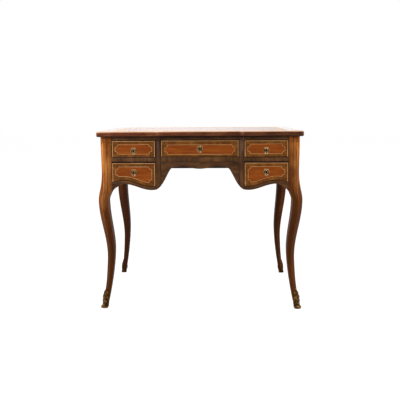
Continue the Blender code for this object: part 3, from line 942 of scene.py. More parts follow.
@dataclass
class Inlay:
    """Veneers on one face: a cross-banded ground, a panel with hollow corners, and stringing."""

    name: str
    body: str
    face: Face
    left: float
    right: float
    top: float
    bottom: Edge
    margins: Margins
    panel_across: bool = True
    notch: float = 0.0125
    band: float = 0.029
    veneer_lift: float = 0.10 * MM
    line_lift: float = 0.22 * MM
    line_width: float = 1.1 * MM
    edging_width: float = 2.2 * MM
    curve_steps: int = 36

    def bottom_points(self, start: float, end: float, rise: float) -> list[Point]:
        """Points along the lower edge, raised by a rise.

        Args:
            start: First u.
            end: Last u.
            rise: How far above the edge the points lie.

        Returns:
            The points.
        """
        return [(u, self.bottom(u) + rise) for u in spaced(start, end, self.curve_steps)]

    def panel_outline(self) -> list[Point]:
        """Outline of the panel, anticlockwise from its lower left."""
        left = self.left + self.margins.side
        right = self.right - self.margins.side
        top = self.top - self.margins.top
        rise = self.margins.bottom
        low_left = self.bottom(left) + rise
        low_right = self.bottom(right) + rise
        notch = self.notch
        return (
            self.bottom_points(left + notch, right - notch, rise)
            + arc((right, low_right), notch, 180, 90)
            + arc((right, top), notch, 270, 180)
            + arc((left, top), notch, 360, 270)
            + arc((left, low_left), notch, 90, 0)
        )

    def build_ground(self, keyhole: Sequence[Point] = ()) -> bpy.types.Object:
        """Four mitred bands whose fibres run towards the panel.

        Args:
            keyhole: Outline of a hole through them.

        Returns:
            The dressed piece.
        """
        left, right, top, band = self.left, self.right, self.top, self.band
        inner_top = top - band
        low_left = (left + band, self.bottom(left + band) + band)
        low_right = (right - band, self.bottom(right - band) + band)
        upright = [
            [(left + band, inner_top), (right - band, inner_top), (right, top), (left, top)],
            self.bottom_points(left, right, 0.0) + self.bottom_points(right - band, left + band, band),
        ]
        lying = [
            [(left, self.bottom(left)), low_left, (left + band, inner_top), (left, top)],
            [low_right, (right, self.bottom(right)), (right, top), (right - band, inner_top)],
        ]
        finishes = [FINISH.ground.material(self.face.grain(across)) for across in (False, True)]
        shape = bands(self.face, (upright, lying), self.veneer_lift)
        piece = piece_from(f"ground_{self.name}", shape)
        if keyhole:
            tool = slab(self.face, keyhole, -3 * self.veneer_lift, 3 * self.veneer_lift)
            cut(piece, piece_from("keyhole_tool", tool))
        return dress(piece, finishes, self.body)

    def build_panel(self, keyhole: Sequence[Point] = ()) -> bpy.types.Object:
        """The lighter panel, pierced by a keyhole where it has one.

        Args:
            keyhole: Outline of the hole.

        Returns:
            The dressed piece.
        """
        lift = 1.6 * self.veneer_lift
        piece = piece_from(f"panel_{self.name}", slab(self.face, self.panel_outline(), 0.0, lift))
        if keyhole:
            tool = slab(self.face, keyhole, -lift, 3 * lift)
            cut(piece, piece_from("keyhole_tool", tool))
        grain = self.face.grain(self.panel_across)
        return dress(piece, [FINISH.panel.material(grain)], self.body)

    def build_lines(self, edging: bool = True) -> bpy.types.Object:
        """Light stringing round the panel, and an edging along the top and sides.

        Args:
            edging: Whether the ground has an edging too.

        Returns:
            The dressed piece.
        """
        finish = FINISH.line.material(self.face.grain(across=True))
        sizes = {
            "Width": self.line_width,
            "Thickness": 2 * self.line_lift,
            "Corner": 1.2 * MM,
            "Facing": self.face.out,
            "Finish": finish,
        }
        tree = path_tree(Section.STRIP)
        round_panel = Path([self.face.at(u, v) for u, v in self.panel_outline()], closed=True)
        lines = [grow("panel_line", tree, [round_panel], sizes)]
        if edging:
            in_by = 0.6 * self.edging_width
            left, right, top = self.left + in_by, self.right - in_by, self.top - in_by
            corners = [(left, self.bottom(left)), (left, top), (right, top), (right, self.bottom(right))]
            path = Path([self.face.at(u, v) for u, v in corners])
            lines.append(grow("edging", tree, [path], {**sizes, "Width": self.edging_width, "Corner": 0.0}))
        return dress(joined(f"stringing_{self.name}", lines), [finish], self.body)


@dataclass
class Escutcheon:
    """A cast cartouche of scrolls round a keyhole. Its sizes are in metres from the keyhole."""

    name: str
    body: str
    face: Face
    key: Point
    half_width: float = 10.6 * MM
    half_height: float = 13.2 * MM
    middle_drop: float = 2.6 * MM
    hole_radius: float = 2.6 * MM
    hole_slot: float = 2.4 * MM
    hole_length: float = 9.0 * MM
    rod: float = 1.1 * MM
    rim: float = 0.9 * MM
    rim_width: float = 3.3 * MM
    scrolls: tuple[tuple[Point, Point, float], ...] = (
        ((0.24, 0.10), (0.70, 0.80), 1.95),
        ((0.40, 0.84), (0.30, 0.16), 2.5),
        ((0.30, -0.80), (0.28, 0.18), 2.5),
    )
    scroll_wind: float = 0.55
    pearl: float = 0.8 * MM
    pearl_spacing: float = 4.2 * MM
    pearl_share: float = 0.62
    petal: tuple[float, float, float] = (0.8 * MM, 1.8 * MM, 0.8 * MM)
    petal_gaps: int = 2
    fan_radius: float = 1.4 * MM
    fan_half_deg: float = 80.0
    fan_share: float = 0.72
    plate_lift: float = 0.9 * MM
    shade_plate_share: float = 0.8
    shade_plate_sides: int = 40

    def keyhole(self, grow_by: float = 0.0) -> list[Point]:
        """Outline of the keyhole, a round over a slot.

        Args:
            grow_by: How far outside the hole the outline lies.

        Returns:
            The outline, anticlockwise.
        """
        u, v = self.key
        radius = self.hole_radius + grow_by
        half = self.hole_slot / 2 + grow_by
        open_deg = math.degrees(math.asin(half / radius))
        foot = v - self.hole_length - grow_by
        ring = arc((u, v), radius, open_deg - 90, 270 - open_deg, 18)
        return [*ring, (u - half, foot), (u + half, foot)]

    def oval(self, share: float, start_deg: float, end_deg: float, steps: int) -> list[Point]:
        """Part of an oval round the keyhole.

        Args:
            share: Size of the oval as a share of the whole cartouche.
            start_deg: Angle of the first point.
            end_deg: Angle of the last point.
            steps: Number of chords.

        Returns:
            The points.
        """
        unit = arc((0.0, 0.0), share, start_deg, end_deg, steps)
        middle = self.key[1] - self.middle_drop
        return [(self.key[0] + u * self.half_width, middle + v * self.half_height) for u, v in unit]

    def scroll(self, side: int, centre: Point, reach: Point, turn: float) -> list[Point]:
        """A C-shaped scroll that winds in at both ends.

        Args:
            side: 1 for the right half, -1 for the left.
            centre: Middle of the scroll, as shares of the cartouche's half sizes.
            reach: Its half width and half height, as such shares.
            turn: Angle from its middle to each end.

        Returns:
            The points along it.
        """
        points = []
        for share in spaced(-1.0, 1.0, 32):
            wound = 1 - self.scroll_wind * abs(share) ** 4
            u = centre[0] + reach[0] * wound * math.cos(share * turn)
            v = centre[1] + reach[1] * wound * math.sin(share * turn)
            high = self.key[1] - self.middle_drop + v * self.half_height
            points.append((self.key[0] + side * u * self.half_width, high))
        return points

    def build_scrolls(self) -> bpy.types.Object:
        """Two large C-scrolls, four small ones, and the keyhole's rim.

        Returns:
            The rods as one piece.
        """
        lift = self.plate_lift
        tree = path_tree(Section.ROD)
        finish = FINISH.brass.material()
        inputs = {"Width": self.rim, "Corner": 0.0, "Facing": self.face.out, "Finish": finish}
        edge = self.keyhole(self.rim_width)
        rim = grow("rim", tree, [Path([self.face.at(u, v, lift) for u, v in edge], closed=True)], inputs)
        paths = []
        for side in (1, -1):
            for centre, reach, turn in self.scrolls:
                points = self.scroll(side, centre, reach, turn)
                paths.append(Path([self.face.at(u, v, 0.8 * lift) for u, v in points]))
        scrolls = grow("scrolls", tree, paths, {**inputs, "Width": self.rod})
        return joined("rods", [rim, scrolls])

    def build_pearls(self) -> bpy.types.Object:
        """Pearls down both sides and a fan of petals at the head and the foot.

        Returns:
            The small ornaments as one piece.
        """
        rows = []
        finish = FINISH.brass.material()
        pearl = bmesh.new()
        bmesh.ops.create_uvsphere(pearl, u_segments=10, v_segments=8, radius=self.pearl)
        petal = bmesh.new()
        bmesh.ops.create_uvsphere(petal, u_segments=10, v_segments=6, radius=1.0)
        bmesh.ops.scale(petal, vec=self.petal, verts=petal.verts)
        bmesh.ops.translate(petal, vec=(0.0, self.petal[1], 0.0), verts=petal.verts)
        sides = [self.oval(self.pearl_share, a, a + 90, 16) for a in (-45, 135)]
        middle = self.key[1] - self.middle_drop
        half = self.fan_half_deg
        fans = []
        for sign, towards in ((1, 90), (-1, 270)):
            root = (self.key[0], middle + sign * self.fan_share * self.half_height)
            fans.append(arc(root, self.fan_radius, towards + half, towards - half, 20))
        # A hair under the even gap, so that the last petal isn't lost to rounding.
        petal_spacing = math.radians(2 * half) * self.fan_radius / (self.petal_gaps + 0.01)
        for shape, lines, spacing in (
            (piece_from("pearl", pearl), sides, self.pearl_spacing),
            (piece_from("petal", petal), fans, petal_spacing),
        ):
            paths = [Path([self.face.at(u, v, self.plate_lift) for u, v in line]) for line in lines]
            inputs = {"Shape": shape, "Spacing": spacing, "Facing": self.face.out, "Finish": finish}
            rows.append(grow("row", row_tree(), paths, inputs))
            bpy.data.objects.remove(shape)
        return joined("pearls", rows)

    def build(self) -> bpy.types.Object:
        """Small dark plate, painted shade inside the openwork, with scrolls, pearls and leaves as one
        pierced casting.

        Returns:
            The dressed piece.
        """
        lift = self.plate_lift
        chords = self.shade_plate_sides - 1
        outline = self.oval(self.shade_plate_share, 0.0, 360.0 * chords / self.shade_plate_sides, chords)
        # Painted shade: a dark plate behind the scrolls stands in for the shade inside the openwork.
        plate = piece_from("plate", slab(self.face, outline, -0.3 * MM, 0.5 * lift))
        cut(plate, piece_from("keyhole_tool", slab(self.face, self.keyhole(), -2 * lift, 3 * lift)))
        piece = joined(
            f"escutcheon_cast_{self.name}", [self.build_scrolls(), self.build_pearls(), plate], [0, 0, 1]
        )
        finishes = [FINISH.brass.material(), FINISH.brass_shade_plate.material()]
        return dress(piece, finishes, self.body, [f"escutcheon_{self.name}"])


@dataclass
class Drawer:
    """One drawer: its inlaid front, escutcheon, box, bottom, lock and bolt."""

    name: str
    margins: Margins
    panel_across: bool
    nodes: Nodes
    plate_halves: Point = (12.0 * MM, 15.6 * MM)
    ease: float = 0.6 * MM
    # Width of the dark margin of painted shade round the veneers.
    shade_margin: float = 1.9 * MM
    tail_depth: float = 13 * MM
    tail_widths: Point = (0.36, 0.24)
    tail_lift: float = 0.12 * MM
    tails: int = 3
    lock_wall: float = 1.5 * MM
    screw_inset: float = 5 * MM
    screw_radii: Point = (2.6 * MM, 2.0 * MM)
    screw_height: float = 0.9 * MM

    @property
    def body(self) -> str:
        """Name of the body that the drawer is."""
        return f"drawer_{self.name}"

    def build_front(self) -> None:
        """The front board with its veneers and escutcheon."""
        node = f"drawer_front_{self.name}"
        low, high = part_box(node)
        face = facing((0.0, -1.0, 0.0), -low.y)
        core = eased(self.nodes[node], f"front_core_{self.name}", self.ease)
        # Painted shade: the core is darkened and shows in a narrow margin round the veneers, as the shadow
        # in the gap round the drawer.
        finish = FINISH.ground.grimed().material(Grain.X)
        dress(core, [finish, finish], self.body, [node])

        plate_low, plate_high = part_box(f"escutcheon_{self.name}")
        key = ((plate_low.x + plate_high.x) / 2, (plate_low.z + plate_high.z) / 2)
        pierced = (key[0] - KEY_CLEAR, key[0] + KEY_CLEAR)
        edge = lower_edge_of(self.nodes[node], face, pierced)
        in_by = self.shade_margin
        inlay = Inlay(
            self.name,
            self.body,
            face,
            low.x + in_by,
            high.x - in_by,
            high.z - in_by,
            lambda u: edge(u) + in_by,
            self.margins,
            self.panel_across,
        )
        escutcheon = Escutcheon(self.name, self.body, face, key, *self.plate_halves)
        inlay.build_ground(escutcheon.keyhole())
        inlay.build_panel(escutcheon.keyhole())
        inlay.build_lines()
        escutcheon.build()
        self.build_lock(face, escutcheon.keyhole())

    def build_box(self) -> None:
        """The oak box with its dovetails, and its bottom board."""
        for part, ease, grain in (("box", 0.8 * MM, Grain.Y), ("bottom", 0.5 * MM, Grain.X)):
            name = f"{part}_{self.name}"
            oak_board(self.nodes, f"drawer_{name}", name, ease, grain, self.body)
        self.build_dovetails()

    def build_dovetails(self) -> None:
        """Rows of tails where the sides meet the front."""
        low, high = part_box(f"drawer_box_{self.name}")
        pitch = (high.z - low.z) / self.tails
        wide, narrow = self.tail_widths[0] * pitch, self.tail_widths[1] * pitch
        depth, thick = self.tail_depth, self.tail_lift
        outline = [(-narrow, -depth), (-wide, 0.0), (wide, 0.0), (narrow, -depth)]
        tail = piece_from("tail", slab(level(), outline, -thick, thick))
        finish = FINISH.end_grain.material(Grain.Y)
        rows = []
        for x, sign in ((low.x, -1), (high.x, 1)):
            ends = [low.z + pitch / 2, high.z - pitch / 2]
            if sign < 0:
                ends.reverse()
            path = Path([(x, low.y + 0.1 * MM, z) for z in ends])
            inputs = {"Shape": tail, "Spacing": 0.999 * pitch, "Facing": (sign, 0.0, 0.0), "Finish": finish}
            rows.append(grow(f"tails_{sign}", row_tree(), [path], inputs))
        bpy.data.objects.remove(tail)
        piece = joined(f"dovetails_{self.name}", rows)
        dress(piece, [finish], self.body)

    def build_lock(self, face: Face, keyhole: Sequence[Point]) -> None:
        """The lock's case with its screws, and the bolt.

        Args:
            face: The drawer front's face, which the key goes in through.
            keyhole: Outline of the keyhole on it, which goes on into the case.
        """
        node = f"lock_{self.name}"
        case = eased(self.nodes[node], f"lock_case_{self.name}", 0.5 * MM)
        low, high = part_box(node)
        inside = face.at(0.0, 0.0).y - high.y + self.lock_wall
        case.data.materials.append(None)
        # Painted shade: the keyhole's walls into the case take a near-black brass, as the inside of the
        # lock lies in shade.
        cut(case, piece_from("key_tool", slab(face, keyhole, inside, 0.0, index=2)))
        finish = FINISH.lock_brass.material()
        dress(case, [finish, finish, FINISH.keyhole_shade.material()], self.body, [node])
        node = f"lock_bolt_{self.name}"
        bolt = eased(self.nodes[node], f"bolt_{self.name}", 0.5 * MM)
        finish = FINISH.steel.material()
        dress(bolt, [finish, finish], f"bolt_{self.name}", [node])

        head = bmesh.new()
        bmesh.ops.create_cone(
            head,
            cap_ends=True,
            segments=20,
            radius1=self.screw_radii[0],
            radius2=self.screw_radii[1],
            depth=self.screw_height,
            matrix=Matrix.Translation((0.0, 0.0, 0.3 * MM)),
        )
        screw = piece_from("screw_head", head)
        u, v = 3 * MM, 0.3 * MM
        slot = [(-u, -v), (u, -v), (u, v), (-u, v)]
        cut(screw, piece_from("slot_tool", slab(level(), slot, 0.35 * MM, 2 * MM)))
        inset = self.screw_inset
        rows = [
            Path([(low.x + inset, high.y, z), (high.x - inset, high.y, z)])
            for z in (low.z + inset, high.z - 4 * inset)
        ]
        inputs = {
            "Shape": screw,
            "Spacing": 0.999 * (high.x - low.x - 2 * inset),
            "Facing": (0.0, 1.0, 0.0),
            "Finish": finish,
        }
        screws = grow(f"lock_screws_{self.name}", row_tree(), rows, inputs)
        bpy.data.objects.remove(screw)
        dress(screws, [finish], self.body)

    def build(self) -> None:
        """Builds the whole drawer."""
        self.build_front()
        self.build_box()


@dataclass
class CabrioleLeg:
    """A leg in one piece with its post, and the bronze shoe on its foot."""

    place: str
    nodes: Nodes
    facet_crown: float = 1.0 * MM
    face_crown: float = 2.6 * MM
    # Width of the lighter strip along each arris, partly wear and partly a painted highlight.
    rubbed: float = 2.0 * MM
    groove: float = 1.0 * MM
    groove_half: float = 0.022
    groove_places: Point = (0.09, 0.5)
    corner: float = 2.6 * MM
    fullness: float = 2.2 * MM
    full_span: Point = (0.09, 0.54)
    full_fade: Point = (0.1, 0.06)
    block: float = 24.5 * MM
    joint: float = 0.4 * MM
    # Darkening towards the floor and the inner edges, partly grime and partly painted shade.
    shade_and_grime_span: tuple[float, float] = (0.26, 0.70)
    shade_and_grime_share: float = 0.94
    inner_stain: float = 0.45
    steps: int = 120
    shoe_around: int = 120
    shoe_up: int = 48
    rim_front: float = 83 * MM
    rim_back: float = 12 * MM
    lobe: float = 3.5 * MM
    lobes: float = 3.5
    shoe_wall: float = 1.2 * MM
    leaf_bulge: float = 6.4 * MM
    leaf_swell: tuple[Point, ...] = (
        (0.0, 0.2), (0.2, 0.2), (0.4, 0.65), (0.62, 1.0), (0.8, 0.85), (0.92, 0.5), (1.0, 0.2),
    )
    leaf_reach: float = 0.62
    spine: float = 1.1 * MM
    spine_width: float = 0.05
    frond: float = 1.1 * MM
    frond_waves: tuple[float, float, float] = (3.6, 3.2, 2.3)
    toe_reach: float = 10.2 * MM
    toe_height: float = 8.0 * MM
    outer: Edge = field(init=False)
    inner: Edge = field(init=False)
    facet: Edge = field(init=False)
    swell: Edge = field(init=False)
    centre: Vector = field(init=False)
    top: float = field(init=False)
    sole: float = field(init=False)
    outlines: dict[int, np.ndarray] = field(init=False, default_factory=dict)

    def __post_init__(self) -> None:
        """Reads how the leg swells and hollows, and how wide its facet is, from its node."""
        vertices = [v.co for v in self.nodes[f"leg_{self.place}"].data.vertices]
        self.top = max(v.z for v in vertices)
        ends = [v for v in vertices if v.z > self.top - MM]
        spans = [[v[axis] for v in ends] for axis in (0, 1)]
        self.centre = Vector([(min(span) + max(span)) / 2 for span in spans] + [0.0])
        signs = [math.copysign(1.0, self.centre[axis]) for axis in (0, 1)]
        rings: dict[float, list[Point]] = {}
        for v in vertices:
            out = [(v[axis] - self.centre[axis]) * signs[axis] for axis in (0, 1)]
            rings.setdefault(round(v.z, 4), []).append((out[0], out[1]))
        heights = sorted(rings)
        self.sole = heights[0]
        highs = [max(p for p, q in rings[z]) for z in heights]
        lows = [min(p for p, q in rings[z]) for z in heights]
        arrises = [max(q for p, q in rings[z] if p > high - 0.1 * MM) for z, high in zip(heights, highs)]
        foot, head = self.full_span
        rise, fall = self.full_fade
        fuller = [self.fullness * smooth(min((z - foot) / rise, (head - z) / fall)) for z in heights]
        self.outer = smooth_through(heights, [high + more for high, more in zip(highs, fuller)])
        self.inner = smooth_through(heights, lows)
        self.facet = smooth_through(heights, [high - arris for high, arris in zip(highs, arrises)])
        self.swell = smooth_through(*zip(*self.leaf_swell))

    def at(self, point: Point, z: float) -> tuple[float, float, float]:
        """Point of a section in the frame; positive values lie towards the desk's outside."""
        x = self.centre.x + math.copysign(point[0], self.centre.x * point[0])
        y = self.centre.y + math.copysign(point[1], self.centre.y * point[1])
        return (x, y, z)

    def section(self, z: float, inset: float = 0.0) -> list[Point]:
        """Outline of the leg at a height.

        Args:
            z: The height.
            inset: How far inside the leg's surface it lies.

        Returns:
            The outline, from the middle of the facet on the outer corner.
        """
        high, low = self.outer(z) - inset, self.inner(z) + inset
        size = (high - low) / (self.outer(self.top) - self.inner(self.top))
        corner, crown = self.corner * size, self.face_crown * size
        arris, foot = high - self.facet(z), low + corner
        edge = high - crown
        strip = self.rubbed * size / math.sqrt(2)
        bulge = self.facet_crown * size / math.sqrt(2)
        half = (edge + arris) / 2 + bulge

        def face(q: float) -> Point:
            """Point of the outer face, which is crowned between its two edges."""
            off = 2 * (q - (arris + foot) / 2) / (arris - foot)
            return (high - crown * off * off, q)

        def groove(share: float) -> list[Point]:
            """Two edges and the bottom of a groove at a share of the outer face.

            Args:
                share: 0 at the facet to 1 at the inner edge.

            Returns:
                The three points.
            """
            wide = self.groove_half
            points = [face(mix(arris, foot, share + off)) for off in (-wide, 0.0, wide)]
            points[1] = (points[1][0] - self.groove * size, points[1][1])
            return points

        near, far = self.groove_places
        flank = [(half, half), (edge - strip + 0.4 * bulge, arris + strip + 0.4 * bulge), face(arris)]
        flank += [*groove(near), face(mix(arris, foot, 0.3)), *groove(far)]
        flank += [face(mix(arris, foot, 0.75)), face(foot)]
        turn = arc((edge - corner, foot), corner, 0, -90, 4)
        lower = [*flank, *turn[1:], ((edge + low) / 2, low)]
        upper = [(q, p) for p, q in reversed(lower[1:])]
        return lower + arc((foot, foot), corner, -90, -180, 4) + upper

    def tone(self, z: float, step: int, count: int) -> Tone:
        """How a strip of the leg is coloured.

        Args:
            z: Height of the strip.
            step: Which strip of the outline it is.
            count: Number of strips.

        Returns:
            Lighter on the arrises, partly wear and partly a painted highlight; darker in the joint, in the
            grooves with grime and painted shade, and on the inner faces with painted shade.
        """
        mirrored = min(step, count - 1 - step)
        above = z - (self.top - self.block)
        # Strips count from the middle of the facet: two lie along the arris and two in each groove.
        arris, grooves, last_outside = (1, 2), (3, 4, 7, 8), 15
        # Painted shade darkens the inner faces and, with grime, the grooves; the arris strips are partly a
        # painted highlight.
        if mirrored > last_outside or mirrored in grooves or abs(above) < 0.6 * MM:
            return Tone.GRIMED
        return Tone.RUBBED if mirrored in arris and above < 0 else Tone.PLAIN

    def stain(self, z: float, step: int, count: int) -> float:
        """How dark the wood is painted at a point of the outline.

        Args:
            z: Height of the point.
            step: Which point of the outline it is.
            count: Number of points.

        Returns:
            0 for clean wood to 1 for full darkening: more towards the floor and the inner edges, partly
                                                      grime and partly painted shade.
        """
        foot, head = self.shade_and_grime_span
        low = self.shade_and_grime_share * smooth((head - z) / (head - foot))
        inside = self.inner_stain * smooth((min(step, count - step) - 4) / 8)
        return 1 - (1 - low) * (1 - inside)

    def build_leg(self) -> bpy.types.Object:
        """The leg, finely lofted, with a fine joint under its top block.

        Returns:
            The dressed piece.
        """
        joint = self.top - self.block
        heights = spaced(self.sole, self.top, self.steps)
        heights = sorted(heights + [joint + step * MM for step in (-1.2, -0.5, 0.5, 1.2)])
        rings = []
        for z in heights:
            inset = self.joint if abs(z - joint) < 0.6 * MM else 0.0
            rings.append([self.at(point, z) for point in self.section(z, inset)])
        count = len(rings[0])
        middles = [(low + high) / 2 for low, high in zip(heights, heights[1:])]
        shape = skin(rings, finish=lambda band, step: self.tone(middles[band], step, count))
        piece = piece_from(f"leg_carved_{self.place}", shape, crease_deg=30.0)
        # Darkening as an attribute, partly grime and partly painted shade.
        shade_and_grime_values = [self.stain(z, step, count) for z in heights for step in range(count)]
        shade_and_grime_layer = piece.data.attributes.new(FINISH.leg.shade_and_grime_by, "FLOAT", "POINT")
        shade_and_grime_layer.data.foreach_set("value", shade_and_grime_values)
        # Painted shade: the rear legs take the darker finish, as they stand in the case's shade.
        wood = FINISH.leg if self.place.startswith("front") else FINISH.rear_leg
        return dress(piece, wood.tones(Grain.Z), "carcass", [f"leg_{self.place}"])

    def outline(self, z: float) -> np.ndarray:
        """Outline of the leg with evenly spaced points, kept for each half millimetre.

        Args:
            z: The height.

        Returns:
            Points from the middle of the facet round the leg.
        """
        step = round(z / (0.5 * MM))
        if step not in self.outlines:
            points = np.array(self.section(max(step * 0.5 * MM, self.sole)))
            closed = np.vstack([points, points[:1]])
            run = np.concatenate([[0.0], np.cumsum(np.linalg.norm(np.diff(closed, axis=0), axis=1))])
            wanted = np.linspace(0.0, run[-1], self.shoe_around, endpoint=False)
            self.outlines[step] = np.stack([np.interp(wanted, run, closed[:, i]) for i in (0, 1)], axis=1)
        return self.outlines[step]

    def relief(self, around: float, up: float) -> tuple[float, float]:
        """How far the casting stands out from the leg, and how bright it is rubbed.

        Args:
            around: 0 at the outer corner to 1 at the inner one.
            up: 0 at the floor to 1 at the rim.

        Returns:
            Thickness of the casting there, and a brightness from 0 to 1.
        """
        leaf = max(1 - (around / self.leaf_reach) ** 2, 0.0)
        bulge = self.leaf_bulge * leaf * self.swell(up)
        spine = math.exp(-((around / self.spine_width) ** 2)) * smooth(up / 0.2) * (1.15 - up)
        rows, lean, columns = self.frond_waves
        slanted = math.sin(2 * math.pi * (rows * up - lean * around))
        wave = slanted * math.cos(2 * math.pi * columns * around)
        fronds = wave * leaf * smooth((around - 0.03) / 0.08) * smooth(up / 0.22)
        thick = self.shoe_wall + bulge + self.spine * spine + self.frond * fronds
        bright = leaf * (0.18 + 0.45 * fronds + 0.35 * spine)
        return (thick * (1.0 - 0.75 * smooth((up - 0.93) / 0.07)), min(max(bright, 0.0), 1.0))

    def shoe_ring(self, up: float) -> tuple[list[tuple[float, float, float]], list[float]]:
        """One ring of the shoe's outside.

        Args:
            up: Its height as a share of the height of the rim.

        Returns:
            Its points, and the brightness at each of them.
        """
        points, brightness = [], []
        half = self.shoe_around / 2
        for i in range(self.shoe_around):
            around = min(i, 2 * half - i) / half
            z = up * self.rim(around)
            outline = self.outline(z)
            outwards = outline[i] - outline.mean(axis=0)
            thick, bright = self.relief(around, up)
            middle = self.toe_height * 0.45
            rounded = max(1 - ((z - middle) / (self.toe_height - middle)) ** 2, 0.0)
            toe = self.toe_reach * max(1 - around / 0.45, 0.0) * math.sqrt(rounded)
            point = outline[i] + outwards / np.linalg.norm(outwards) * thick + toe / math.sqrt(2)
            points.append(self.at((point[0], point[1]), z))
            brightness.append(max(bright, 0.55 * toe / self.toe_reach))
        return points, brightness

    def rim(self, around: float) -> float:
        """Height of the shoe's lobed rim; around runs from 0 at the outer corner to 1."""
        lobes = self.lobe * abs(math.sin(self.lobes * math.pi * around)) * (1 - smooth(around / 0.7))
        return mix(self.rim_front, self.rim_back, smooth(around * 1.25)) - lobes

    def build_shoe(self) -> bpy.types.Object:
        """The cast shoe: a leaf up the outer corner over a flat turned-out toe.

        Returns:
            The dressed piece.
        """
        rings, brightness = [], []
        for share in spaced(0.0, 1.0, self.shoe_up):
            points, bright = self.shoe_ring(share**1.4)
            rings.append(points)
            brightness += bright
        heights = [point[2] for point in rings[-1]]
        rings.append([self.at(tuple(self.outline(z)[i]), z) for i, z in enumerate(heights)])
        rings.append([self.at(tuple(point), self.sole) for point in self.outline(self.sole)])
        brightness += [0.0] * (2 * self.shoe_around)
        piece = piece_from(f"shoe_cast_{self.place}", skin(rings), crease_deg=60.0)
        rubbed = piece.data.attributes.new(FINISH.bronze.rubbed_by, "FLOAT", "POINT")
        rubbed.data.foreach_set("value", brightness)
        return dress(piece, [FINISH.bronze.material()], "carcass", [f"shoe_{self.place}"])

    def build(self) -> None:
        """Builds the leg and its shoe."""
        self.build_leg()
        self.build_shoe()


